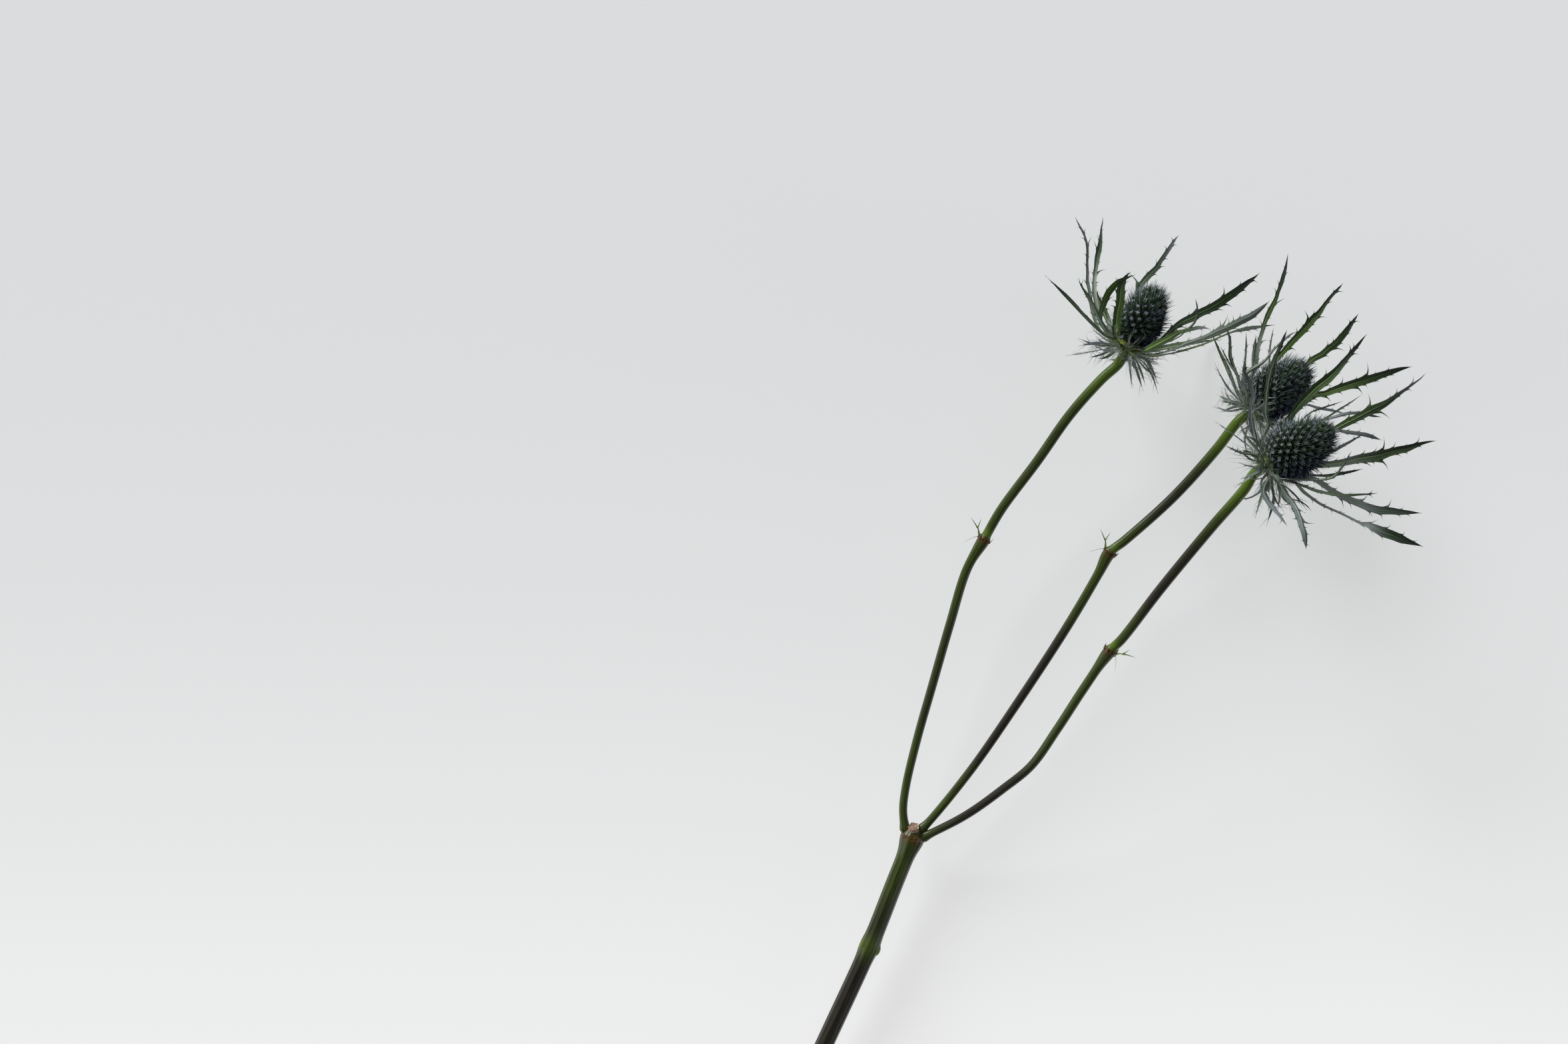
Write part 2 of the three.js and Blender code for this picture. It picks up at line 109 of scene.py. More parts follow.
LEFT_BRACTS = [
    bract_at(-172, 32, 48, silver=(0.7, 0.5, 1.3), line=[
        (1713, 430, 8), (1720, 420, 9.5), (1728, 411, 9), (1737, 402, 8), (1743, 392, 6.5),
        (1750, 382, 6.5), (1757, 372, 6), (1763, 362.5, 4), (1767, 357, 1.8), (1769, 355, 0.7)],
        teeth=[(1736, 397, 1736, 388), (1742, 402, 1751, 401), (1723, 411, 1720, 406),
            (1709, 428, 1692, 408)]),
    bract_at(-100, 49, 49, silver=(1.2, 1.1, 0.7, 1.2), bright=(0.8, 0.3), line=[
        (1652, 498, 5), (1645, 483, 5), (1639, 460, 5), (1636, 437, 5), (1633, 423, 5), (1633, 410, 4.5),
        (1632.5, 393, 4), (1633, 380, 4), (1632.5, 370, 4), (1630, 358, 3), (1626, 348, 3.5),
        (1620, 337, 2.2), (1616, 328.5, 0.6)],
        teeth=[(1634, 368, 1640, 355), (1634, 440, 1631, 426)]),
    bract_at(-122, 41, 48, silver=(2, 1.6, 0.3, 1.3), blue=0.5, line=[
        (1655, 490, 5), (1648, 462, 6), (1644, 440, 7), (1644, 420, 6), (1646, 403, 6), (1648, 387, 8),
        (1651, 372, 8), (1653, 358, 5), (1654, 343, 2.6), (1656, 333, 1.5), (1656.3, 329, 0.6)],
        teeth=[(1647, 374, 1642.5, 361), (1647, 410, 1661, 405), (1653, 378, 1657, 376)]),
    bract_at(-25, 49, 37, silver=(0, 0), bright=(1, 0.6, 0.2), face=1, line=[
        (1675, 508, 8), (1676, 497, 11.5), (1677, 483, 12.5), (1678, 470, 13), (1681, 457, 13),
        (1682, 443, 14), (1683, 433, 13), (1686, 425, 9), (1690, 417, 6), (1694, 412, 2.5),
        (1697, 409.5, 0.7)],
        teeth=[(1676, 434, 1667, 432), (1689, 424, 1696.5, 421.5)]),
    bract_at(102, 36, 53, silver=(0.5, 0.15, 0.3), line=[
        (1765, 491, 8), (1777, 483, 10.5), (1790, 477, 12), (1803, 469, 12), (1817, 462.5, 12.5),
        (1828, 456, 13), (1840, 448, 12), (1852, 440, 11.5), (1863, 432, 10), (1875, 423, 7),
        (1885, 416, 3), (1890, 411.5, 0.7)],
        teeth=[(1836, 443, 1836.5, 429.5), (1840, 458, 1851.5, 461), (1796, 466, 1795, 450),
            (1814, 457, 1817, 451), (1862, 426, 1862.5, 421), (1815, 471, 1820, 474),
            (1868, 437, 1873, 440)]),
    bract_at(66, 46, 54, silver=(1.2, 0.7, 0.8), line=[
        (1768, 522.5, 3.5), (1778, 517.5, 6), (1792, 512.5, 7.5), (1805, 508, 7), (1818, 503, 9),
        (1830, 497, 11), (1842, 492.5, 9.5), (1855, 486, 11), (1867, 480, 11), (1878, 475, 10),
        (1888, 468, 8), (1898, 460, 4.5), (1904.5, 454, 0.7)],
        teeth=[(1869, 485, 1875, 486.5), (1831, 492, 1831, 479), (1834, 491, 1845, 472),
            (1860, 478, 1862.5, 469), (1879, 470, 1878, 465)]),
    bract_at(30, 60, 38, silver=(0, 0.2, 1.2), bright=(0.5, 0.4), face=1, line=[
        (1720, 527, 8), (1733, 520, 9), (1747, 512.5, 9.5), (1760, 505, 9.5), (1772, 498.5, 7),
        (1780, 496.7, 3.6), (1788, 495, 5), (1798, 492.5, 6), (1808, 492.5, 4), (1816, 494, 0.8)],
        teeth=[(1768, 498, 1766.5, 487)]),
    bract_at(97, 55, 52, silver=(0.1, 0.8, 1.1), bright=(0.9, 0.2), line=[
        (1760, 531, 2.5), (1783, 525, 3), (1808, 517, 2.6), (1833, 506, 2.6), (1853, 498, 3),
        (1867, 495, 6), (1880, 492.5, 6), (1893, 491, 4), (1905, 489, 2), (1912, 488.3, 0.5)],
        teeth=[(1860, 494, 1857, 491)]),
    # Painted light: this blade lies in shade, and its bright green is set high to light it.
    bract_at(-91, 21, 25, silver=(1.1, 0.3, 0, 0), bright=(1, 1, 1, 0.5), face=1, line=[
        (1662, 495, 5), (1653, 482, 6), (1653, 470, 7), (1657, 457, 9), (1662, 443, 10), (1670, 432, 10),
        (1680, 423, 8), (1692, 417.5, 4), (1702, 413.5, 0.6)],
        teeth=[(1677, 424, 1679, 418), (1684, 427, 1690, 427)]),
    bract_at(-82, 63, 30, silver=(0.7, 0.8, 0.3, 0), bright=(1, 0.8, 0.7), line=[
        (1658, 492, 6), (1650, 477, 6), (1642, 460, 6), (1633, 443, 5), (1627, 434, 3),
        (1622.5, 426, 1.8), (1620.5, 420, 0.5)]),
    bract_at(53, 31, 31, silver=(0.5, 0.6), line=[
        (1772, 505, 2), (1780, 497, 3), (1792, 487, 3.5), (1798, 475, 3), (1798, 463, 2),
        (1796, 452, 0.5)]),
    bract_at(140, 74, 49, width=3.4, teeth=[(0.6, 1, 2.6), (0.6, -1, 2.6)]),
    bract_at(-152, 76, 46, width=3.4, teeth=[(0.6, 1, 2.6), (0.66, -1, 2.6)]),
    bract_at(-66, 76, 42, width=3.2, teeth=[(0.6, 1, 2.6), (0.64, -1, 2)]),
    bract_at(5, 92, 27, width=2.2, teeth=[(0.5, -1, 1.2)]),
]

MIDDLE_BRACTS = [
    bract_at(-100, 38, 55, silver=(1.5, 0.3, 0, 0.2, 0.7), line=[
        (1886, 553, 5), (1887, 540, 6), (1888.5, 527, 6), (1892, 510, 6), (1896, 497, 6),
        (1900, 483.5, 6.2), (1905, 472, 8), (1911, 460, 7), (1916, 450, 6), (1920, 438, 5),
        (1924, 427, 6), (1928, 413, 6), (1931, 402, 4), (1933, 390, 2), (1934, 384, 0.7)],
        teeth=[(1915, 456, 1930, 447.5), (1906, 464, 1902, 460), (1931, 411, 1936, 409),
            (1927, 424, 1931, 421.5), (1896, 490, 1891, 479), (1894, 514, 1906, 511)]),
    bract_at(-151, 25, 58, silver=(0, 0, 0.1, 0.1), bright=(1, 0.1, 0), line=[
        (1928, 527, 8), (1935, 519, 9.5), (1943, 510, 9.5), (1953, 500, 10), (1963, 489, 11),
        (1972.5, 478, 11), (1981, 470, 8.5), (1988, 460, 6), (1997, 448, 5), (2005, 439, 4.5),
        (2012, 431.5, 3), (2015.5, 427.5, 0.7)],
        teeth=[(1965, 481, 1958, 465.5), (1979, 476, 1993, 476.5), (1989, 456, 1988, 451),
            (1963, 499, 1970.5, 499), (1933, 514, 1931, 511), (1940, 525, 1948, 528)]),
    bract_at(179, 26, 56, silver=(0.3, 0, 0), bright=(0.7, 0, 0), line=[
        (1962, 547.5, 7), (1973, 539, 9), (1985, 532.5, 9.5), (1995, 524, 10), (2005, 517, 10.5),
        (2013, 508.5, 10), (2022, 497.5, 9), (2029, 487.5, 6), (2035, 479, 3.5), (2039, 473, 0.7)],
        teeth=[(2005, 524, 2020, 526.5), (1993, 519, 1992.5, 511), (2010, 503, 2011.5, 498),
            (2024, 502, 2030, 501)]),
    bract_at(126, 31, 61, silver=(0.4, 0.1, 0.1), bright=(1.2, 0.3, 0.1), line=[
        (1977, 593, 8), (1990, 591, 9), (2005, 585, 11), (2020, 580, 12), (2035, 575, 12.5),
        (2048, 571, 12), (2062, 566.5, 12), (2075, 562, 10), (2088, 558, 9), (2102, 554, 6),
        (2112, 552, 3), (2118, 551, 0.7)],
        teeth=[(2050, 564, 2051, 544), (2037, 583, 2048, 594), (2066, 573, 2073, 574),
            (2013, 577, 2016.5, 565), (1991, 596, 2000, 604.5), (2083, 554, 2085, 549)]),
    bract_at(-60, 73, 31, silver=(0.8, 0.5, 1), line=[
        (1868, 588, 4), (1862.5, 580, 4), (1860, 567, 4.5), (1853, 550, 5), (1848, 535, 6),
        (1847.5, 522, 4.5), (1847, 507, 4), (1843, 497, 1.5), (1841, 495, 0.5)]),
    bract_at(-40, 84, 27, silver=(1.2, 0.9), line=[
        (1872, 590, 3), (1862, 575, 3.5), (1857, 562, 3.5), (1847, 547, 3), (1838, 530, 2),
        (1834.5, 523, 0.5)]),
    bract_at(-10, 106, 23, silver=(0.8, 0.7), line=[
        (1871, 608, 4), (1860, 610, 4), (1848, 613, 3.5), (1841, 615.5, 0.7)]),
    bract_at(88, 44, 41, silver=(2, 1.3, 0.6, 0), blue=0.6, line=[
        (1990, 630, 3), (2005, 626, 5), (2020, 622, 5), (2035, 620.5, 4.5), (2050, 622, 4.5),
        (2063, 625, 3.5), (2072, 626, 0.7)],
        teeth=[(2040, 618, 2044, 614)]),
    # Painted light: this blade lies in shade, and its silver and blue are set high to light it.
    bract_at(111, 43, 33, silver=(2, 1.8), blue=0.9, line=[
        (1960, 608, 3), (1980, 613, 4.5), (2000, 616.5, 4), (2012, 619, 2), (2017, 620, 0.5)]),
    bract_at(-98, 56, 27, silver=(1, 1.2), line=[
        (1867, 557, 3), (1870, 540, 3), (1871.5, 518, 3), (1871.5, 506, 1.2), (1871.5, 502, 0.5)]),
    bract_at(-88, 49, 26, silver=(1, 0.8), line=[
        (1881, 560, 4), (1882.5, 535, 5), (1885, 518, 5), (1886, 509, 2), (1886, 506, 0.5)]),
    bract_at(-77, 39, 30, silver=(1.3, 1.2), line=[
        (1905, 548, 3), (1906, 535, 3.5), (1908, 518, 3), (1911, 501, 1.5), (1912, 496, 0.5)]),
    bract_at(-52, 28, 33, silver=(1.1, 1.4, 1.6), line=[
        (1866, 571, 4), (1875, 558, 6), (1888, 550, 6), (1900, 541, 4), (1913, 525, 3.5), (1927, 512, 4),
        (1937, 503.5, 3), (1946, 498.5, 0.6)]),
    bract_at(148, 74, 50, width=3.4, teeth=[(0.6, 1, 2.6), (0.6, -1, 2.6)]),
    bract_at(-162, 78, 47, width=3.4, teeth=[(0.6, 1, 2.6), (0.6, -1, 2.6)]),
    bract_at(-122, 80, 36, width=3, teeth=[(0.6, 1, 2.4), (0.64, -1, 2)]),
    bract_at(100, 88, 34, width=2.6, teeth=[(0.6, 1, 2.4), (0.62, -1, 2)]),
]

RIGHT_BRACTS = [
    bract_at(179, 31, 62, silver=(0, 0.3, 1.4), bright=(0, 0), line=[
        (2008, 643, 9), (2023, 635, 11), (2037, 628, 11), (2050, 621, 12), (2063, 614, 13),
        (2076, 608, 11), (2086, 602, 8.5), (2097, 594, 6.5), (2110, 585, 4.5), (2123, 576, 3),
        (2134, 568, 1.8), (2139, 563, 0.7)],
        teeth=[(2057, 612, 2053.5, 591), (2071, 619, 2088, 629), (2026, 628, 2021, 616),
            (2100, 595, 2104, 599), (2046, 629, 2050, 637)]),
    bract_at(145, 42, 60, silver=(1.6, 0.3, 0), line=[
        (1981, 698, 9), (2001, 696, 10), (2019, 693, 11), (2039, 688, 13), (2057, 685.5, 15),
        (2072, 683, 15), (2086, 679, 12), (2101, 675.5, 11.5), (2112, 673.5, 11), (2123, 670, 8),
        (2137, 665.5, 4.5), (2149, 663, 2.2), (2154, 662.3, 0.8)],
        teeth=[(2074, 676, 2076.5, 656), (2073, 691, 2087, 707), (2050, 691, 2062, 701),
            (2112, 680, 2115, 684), (2045, 682, 2049, 673), (2111, 669, 2113, 665)]),
    bract_at(-114, 27, 54, silver=(0.3, 0.1, 0.5, 0.1), line=[
        (1938, 624, 8), (1955, 604, 12), (1966, 593, 13), (1977, 582, 13.5), (1994, 569, 14),
        (2008, 555.5, 10.5), (2018, 543.5, 8.5), (2029, 530, 6.5), (2040, 517, 5), (2048, 507, 2),
        (2051, 504, 0.7)],
        teeth=[(1972, 577, 1973.5, 568), (2008, 560, 2017, 558), (2013, 543, 2013.5, 538),
            (2024, 546, 2029, 544), (1991, 562, 1991, 553)]),
    bract_at(-75, 52, 50, silver=(0.6, 0, 0, 0.4), line=[
        (1905, 637, 5), (1902.5, 627, 6), (1901, 615, 6), (1902, 600, 6.5), (1903, 585, 5.5),
        (1905, 572, 6), (1908, 558, 7.5), (1912.5, 545, 7.5), (1918, 532, 6), (1924, 518, 5.5),
        (1929, 505, 3.5), (1932, 498, 0.8)]),
    # Painted light: this blade's root lies in the cone's shade, and its silver and blue are set high to
    # light it.
    bract_at(112, 54, 53, silver=(2, 1.6, 0.5, 0.1), bright=(0, 0, 0.4, 0), blue=0.45, line=[
        (1966, 718, 6), (1981, 724.5, 9), (1995.5, 734.5, 8.5), (2010, 743, 9), (2023, 749, 10),
        (2039, 755.5, 10.5), (2055.5, 762, 11.5), (2072, 766.5, 12), (2088, 767.5, 11),
        (2104.5, 769.5, 8.5), (2119, 770, 5), (2129, 770.4, 1.8), (2132, 770.4, 0.7)],
        teeth=[(2014, 751, 2017, 764), (2044, 751, 2055, 741), (2083, 762, 2090, 749),
            (2072, 773, 2075.5, 781), (2104, 765, 2108, 760), (2100, 774, 2103, 779)]),
    bract_at(99, 61, 58, silver=(1.8, 1.7, 1.8, 0.2, 0), blue=0.45, line=[
        (1944.5, 725.5, 6), (1955.5, 738, 6), (1968, 747, 4.5), (1984.5, 758, 4), (1999, 764.5, 3.5),
        (2013.6, 771, 3.5), (2030, 779, 3.5), (2043, 785.5, 4), (2053.6, 788, 8), (2064.5, 793, 12),
        (2077, 799, 15), (2092, 804.5, 14), (2104.5, 810, 13), (2117, 814.5, 8), (2130, 818.5, 3),
        (2135, 820.3, 0.7)],
        teeth=[(2057, 785, 2069, 780), (2083, 791, 2089, 787), (2075, 807, 2076.5, 812),
            (2103, 817, 2108, 819), (2106, 801, 2110, 797)]),
    bract_at(43, 85, 39.5, silver=(0.8, 0.8, 0.4), blue=0.5, line=[
        (1921, 723.5, 7), (1926.5, 734.5, 8), (1932, 743.5, 9), (1940, 753, 9), (1946.5, 763.5, 10.5),
        (1952, 776.5, 10.5), (1955.5, 789, 10), (1959, 800, 9.5), (1960.5, 811, 7), (1961.3, 819, 3),
        (1961.5, 823, 0.7)],
        teeth=[(1957, 779, 1976, 786), (1947, 779, 1938, 778), (1937, 755, 1923, 757.5),
            (1952, 764, 1958, 767), (1963, 799, 1969, 802.5), (1952, 790, 1948, 791)]),
    bract_at(28, 93, 26, silver=(0.6, 0.9, 1.3), blue=0.8, line=[
        (1904.5, 720, 8), (1900, 729, 9), (1898, 738, 9), (1901, 747, 8), (1906.5, 756.5, 7.5),
        (1915.5, 767, 6), (1924.5, 778, 4), (1930, 785.5, 2), (1932, 788, 0.7)],
        teeth=[(1898, 748, 1893, 750.5)]),
    bract_at(-62, 78, 30, silver=(2, 0.7, 0.9, 0.6), blue=0.7, line=[
        (1890, 697, 4), (1885.3, 689, 5), (1884.3, 676, 7.5), (1886.5, 664, 8), (1884.5, 653, 8),
        (1881, 640, 8), (1879, 625.5, 6), (1880, 607, 6), (1882, 596, 6), (1880, 582, 7),
        (1873.5, 565.5, 5), (1867.5, 554.5, 2), (1865.5, 552, 0.6)]),
    bract_at(-24, 94, 28, silver=(0.4, 1.2), line=[
        (1893, 686, 5), (1880, 682, 4), (1865, 680, 4), (1851, 674.5, 2.6), (1842, 670, 0.6)]),
    bract_at(-38, 80, 33, silver=(1, 1.3), line=[
        (1889, 676, 4), (1880, 666, 4), (1871, 655, 3.5), (1865, 643, 2), (1862, 636, 0.6)]),
    bract_at(-35, 122, 12, silver=(1.3, 1.6), line=[
        (1890, 705, 3.6), (1882, 701.2, 3), (1873, 699, 2), (1863, 696, 0.5)]),
    bract_at(35, 146, 16, silver=(0.6, 1.2), line=[
        (1903, 722, 4), (1894, 736, 3.5), (1883, 744.5, 3), (1873, 748.5, 2), (1866, 749.7, 0.5)]),
    bract_at(157, 56, 38, silver=(2, 1.7, 0.8), blue=0.7, line=[
        (2008, 647.5, 4), (2023, 649, 6), (2039, 651, 6), (2052, 653, 6.5), (2063, 656.5, 5),
        (2071, 659.5, 1.5), (2073, 660.3, 0.6)],
        teeth=[(2021, 651, 2026, 656)]),
    bract_at(126, 15, 33, silver=(1.6, 1), line=[
        (2002, 678, 4), (2013.5, 671, 5), (2028, 663, 4), (2041, 655.5, 2), (2048, 652, 0.6)]),
    bract_at(124, 42, 31, silver=(1.4, 0.1), line=[
        (1968, 713.5, 3), (1988, 714.5, 4), (2006.5, 712.5, 5), (2022.5, 709.5, 4.2), (2035, 707, 3),
        (2044, 705, 0.6)],
        teeth=[(1984, 713, 1980, 707)]),
    bract_at(50, 42, 37, silver=(1, 0.6, 0.4), line=[
        (1974, 721, 3.5), (1988, 720, 4), (2003, 716, 4), (2010, 709, 3.5), (2019, 696.5, 3),
        (2026, 684, 1.5), (2028.5, 680, 0.5)]),
    bract_at(70, 44, 38, silver=(0.5, 0.4, 0), line=[
        (1943, 725.5, 3), (1959, 730, 4), (1973.5, 735.5, 5), (1988, 739, 5), (2004.5, 742.5, 4.6),
        (2022.5, 743.5, 4.6), (2041, 742.7, 3.3), (2059, 741.8, 2), (2066, 741.2, 0.5)]),
    bract_at(75, 76, 21, silver=(0.5, 0), line=[
        (1923, 734.5, 2), (1937, 749, 2), (1952, 752.7, 2), (1963, 760, 1.8), (1967.5, 765, 0.5)]),
    bract_at(-157, 18, 35, silver=(0.5, 1), line=[
        (1995, 626, 3), (2010, 616, 3), (2030, 603.5, 2), (2042, 595, 0.5)]),
    bract_at(-146, 23, 32, silver=(0.3, 1.2), line=[
        (1968, 620, 2), (1985, 613, 3), (2003, 607, 2), (2014, 603.5, 0.5)]),
    bract_at(-150, 62, 34, width=2.6, teeth=[(0.6, 1, 2.2), (0.6, -1, 2)]),
]

HEADS = [
    {
        "name": "left", "base": (75, 174, 30), "heading": 63, "rise": 10, "length": 24.5,
        "radius": 10, "node": (25, 106, 20), "bracts": LEFT_BRACTS,
        "path": [
            (-2.6, 1, 12), (-3.5, 9.5, 12.5), (-2.5, 18, 13), (1.5, 35, 14), (6.5, 53, 16), (13, 76, 18),
            (19, 95.5, 19), (25, 106, 20), (31, 116.5, 21), (43.5, 133.5, 23.5), (55, 150, 26),
            (66, 162.5, 28.2),
        ],
    },
    {
        "name": "middle", "base": (118.8, 151.6, 32), "heading": 39, "rise": 5, "length": 26,
        "radius": 10.8, "node": (69.3, 101.3, 22.3), "bracts": MIDDLE_BRACTS,
        "path": [
            (1.6, 1.4, 12.4), (5, 4.5, 12.9), (20, 23, 14.3), (35.5, 45.5, 16.6), (54.5, 75, 19.5),
            (65.5, 94, 21.5), (69.3, 101.3, 22.3), (74.5, 105.5, 23.2), (91.5, 121, 26.3),
            (106.5, 138, 29.6),
        ],
    },
    {
        "name": "right", "base": (119, 131.8, 79), "heading": 31, "rise": 25, "length": 26,
        "radius": 11, "node": (67, 67.5, 50.3), "bracts": RIGHT_BRACTS,
        "path": [
            (2.4, -1, 12.4), (18.5, 8, 19), (31.5, 18, 26), (41, 26.5, 31.5), (49.5, 39.5, 38),
            (58.5, 54.5, 45), (67, 67.5, 50.3), (70.8, 71.5, 52.5), (83.2, 88.7, 60), (99.7, 110, 69.2),
            (110.6, 123.4, 75),
        ],
    },
]


# ---- Small tools ----

DRAW_STEPS = (127.1, 311.7)
DRAW_SCALE = 43758.5453
CREASE = math.radians(50)     # edges sharper than this aren't smoothed over
SPINE_TIP = 0.05              # a spine's tip as a share of its foot
SPAN_SAMPLES = 32             # points of a curve from each of its given points to the next


def draw(number, stream):
    """A draw between 0 and 1, the same each time for the same number and stream. Takes arrays too."""
    wave = np.sin(np.asarray(number) * DRAW_STEPS[0] + stream * DRAW_STEPS[1]) * DRAW_SCALE
    return wave - np.floor(wave)


def between(low, high, share):
    return low + (high - low) * share


def pick(low, high, number, stream):
    """A draw between low and high."""
    return between(low, high, draw(number, stream))


def smooth(share):
    share = np.clip(share, 0, 1)
    return share * share * (3 - 2 * share)


def hump(distances, middle, reach):
    """1 at the middle, and next to nothing from twice the reach away on."""
    return np.exp(-((distances - middle) / reach) ** 2)


def fade(x, width):
    """From 1 at no distance from the middle to 0 at this width."""
    return np.clip(1 - np.abs(x) / width, 0, 1)


def unit(vectors):
    return vectors / np.maximum(np.linalg.norm(vectors, axis=-1, keepdims=True), 1e-9)


def rows_at(wanted, places, rows):
    """A table's rows at the wanted places, between the places that its own rows stand for."""
    return np.stack([np.interp(wanted, places, column) for column in rows.T], axis=-1)


def polar(turn, spread, reach=1.0):
    """A point of a head: turn from its top round the axis and spread from the axis, in degrees."""
    turn, spread = np.radians(turn), np.radians(spread)
    across = reach * np.sin(spread)
    return np.stack(np.broadcast_arrays(
        across * np.cos(turn), across * np.sin(turn), reach * np.cos(spread)), axis=-1)


def turns(count):
    """Even steps round a circle, in radians."""
    return 2 * np.pi * np.arange(count) / count


def circle(angles, x, y):
    """The ways out of a circle's middle at some angles from x towards y. Takes rows of x and y too."""
    return np.cos(angles)[:, None] * x[..., None, :] + np.sin(angles)[:, None] * y[..., None, :]


def turned(x, y, angle):
    """Two directions, both turned by an angle in their own plane."""
    return x * np.cos(angle) + y * np.sin(angle), y * np.cos(angle) - x * np.sin(angle)


def across_and_over(tangents):
    """The level way across a stem and the way out over its top."""
    side = unit(np.cross(UP, tangents))
    return side, np.cross(tangents, side)


def lathe(profile, sides):
    """Rings round +Z for the (radius, height) pairs of a profile."""
    radius, height = np.array(profile, float).T[..., None]
    angle = turns(sides)
    return np.stack(np.broadcast_arrays(radius * np.cos(angle), radius * np.sin(angle), height), axis=-1)


class Curve:
    """A smooth curve through points, read by the distance from its start."""

    def __init__(self, points):
        points = np.array(points, float)
        padded = np.vstack([2 * points[0] - points[1], points, 2 * points[-1] - points[-2]])
        spans = [self._span(padded[i:i + 4]) for i in range(len(points) - 1)]
        self.points = np.vstack(spans + [points[-1:]])
        steps = np.linalg.norm(np.diff(self.points, axis=0), axis=1)
        self.distances = np.concatenate([[0], np.cumsum(steps)])
        self.length = self.distances[-1]
        self.tangents = unit(np.gradient(self.points, self.distances, axis=0))

    @staticmethod
    def _span(four):
        """The centripetal stretch between the middle two of four points, without its last point."""
        before, start, end, after = four
        d0, d1, d2 = (np.sqrt(np.linalg.norm(b - a)) for a, b in zip(four[:-1], four[1:]))
        leave = ((start - before) / d0 - (end - before) / (d0 + d1) + (end - start) / d1) * d1
        arrive = ((end - start) / d1 - (after - start) / (d1 + d2) + (after - end) / d2) * d1
        w = np.linspace(0, 1, SPAN_SAMPLES, endpoint=False)[:, None]
        return (start + w * leave + w ** 2 * (3 * (end - start) - 2 * leave - arrive)
                + w ** 3 * (2 * (start - end) + leave + arrive))

    def at(self, distances):
        """Points and tangents at the given distances, or one of each at a single distance."""
        return (rows_at(distances, self.distances, self.points),
                unit(rows_at(distances, self.distances, self.tangents)))

    def near(self, point):
        return self.distances[np.argmin(np.linalg.norm(self.points - np.array(point), axis=1))]


def linked(name, data):
    """A new object in the scene."""
    thing = bpy.data.objects.new(name, data)
    bpy.context.scene.collection.objects.link(thing)
    return thing


class Skin:
    """Collects closed surfaces, with some values at each point, and makes one object of them."""

    def __init__(self, values):
        self.points, self.faces, self.count = [], [], 0
        self.values = {name: [] for name in values}

    def add(self, points, faces, **values):
        self.points.append(points)
        self.faces.extend((np.asarray(face) + self.count).tolist() for face in faces)
        for name, kept in self.values.items():
            kept.append(np.broadcast_to(values.get(name, 0.0), (len(points),)).astype(float))
        self.count += len(points)

    def tube(self, rings, **values):
        """A closed skin over rings of points, counter-clockwise seen from the tube's far end."""
        rows, around, _ = rings.shape
        spread = {name: np.broadcast_to(value, (rows, around)).reshape(-1)
                  for name, value in values.items()}
        self.add(rings.reshape(-1, 3), tube_faces(rows, around), **spread)

    def make(self, name, material, node, to_world):
        points = to_world(np.vstack(self.points))
        mesh = bpy.data.meshes.new(name)
        mesh.from_pydata(points.tolist(), [], self.faces)
        for label, kept in self.values.items():
            attribute = mesh.attributes.new(label, "FLOAT", "POINT")
            attribute.data.foreach_set("value", np.concatenate(kept).astype(np.float32))
        mesh.shade_smooth()
        mesh.set_sharp_from_angle(angle=CREASE)
        mesh.materials.append(material)
        piece = linked(name, mesh)
        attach(piece, "root")
        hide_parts(node)
        return piece


def tube_faces(rows, around):
    faces = []
    for i in range(rows - 1):
        low, high = i * around, (i + 1) * around
        faces.extend((low + j, low + (j + 1) % around, high + (j + 1) % around, high + j)
                     for j in range(around))
    faces.append(tuple(range(around))[::-1])
    faces.append(tuple((rows - 1) * around + j for j in range(around)))
    return faces


def needles(skin, starts, aims, lengths, radii, bends, rows=4, sides=3, taper=0.75, **values):
    """Thin curved spines, each from a start along its aim, with its tip moved by its bend.

    A value is one number, a pair for foot and tip, or rows of either with one for each spine.
    """
    stations = np.linspace(0, 1, rows)
    aims = unit(aims)
    other = np.where(np.abs(aims[:, 2:]) > 0.9, [[1.0, 0, 0]], [[0, 0, 1.0]])
    x = unit(np.cross(other, aims))
    y = np.cross(aims, x)
    middles = (starts[:, None] + aims[:, None] * (lengths[:, None] * stations)[..., None]
               + bends[:, None] * (stations ** 2)[:, None])
    widths = np.reshape(radii, (-1, 1)) * between(SPINE_TIP, 1, (1 - stations) ** taper)
    rings = middles[:, :, None] + circle(turns(sides), x, y)[:, None] * widths[..., None, None]
    faces = tube_faces(rows, sides)
    ends = {name: np.broadcast_to(value, (len(starts), 2)) for name, value in values.items()}
    for i, spine in enumerate(rings):
        along = {name: np.interp(stations, [0, 1], pair[i]).repeat(sides) for name, pair in ends.items()}
        skin.add(spine.reshape(-1, 3), faces, **along)


def leaf_rings(middle, section, across, wide, out, thick):
    """Rings of a small leaf: its section, as wide and as thick as given along its middle."""
    return (middle[:, None] + (section[:, 0] * wide[:, None])[..., None] * across
            + (section[:, 1] * thick[:, None])[..., None] * out)


# ---- Frames ----

def head_axes(head):
    """The head's own axes in the plant's frame: top, side and axis, as columns."""
    heading, rise = math.radians(head["heading"]), math.radians(head["rise"])
    level = np.array([math.cos(heading), math.sin(heading), 0])
    axis = level * math.cos(rise) + UP * math.sin(rise)
    top = unit(UP - axis * axis[2])
    return np.stack([top, np.cross(axis, top), axis], axis=1)


def cut_ring():
    """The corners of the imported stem's cut end."""
    point, tangent = Curve(MAIN_PATH).at(0.0)
    radius = CUT_RADIUS * np.where(np.arange(CUT_SIDES) % 2 == 0, 1, CUT_VALLEY)
    return point + radius[:, None] * circle(turns(CUT_SIDES) - np.pi / 2, *across_and_over(tangent))


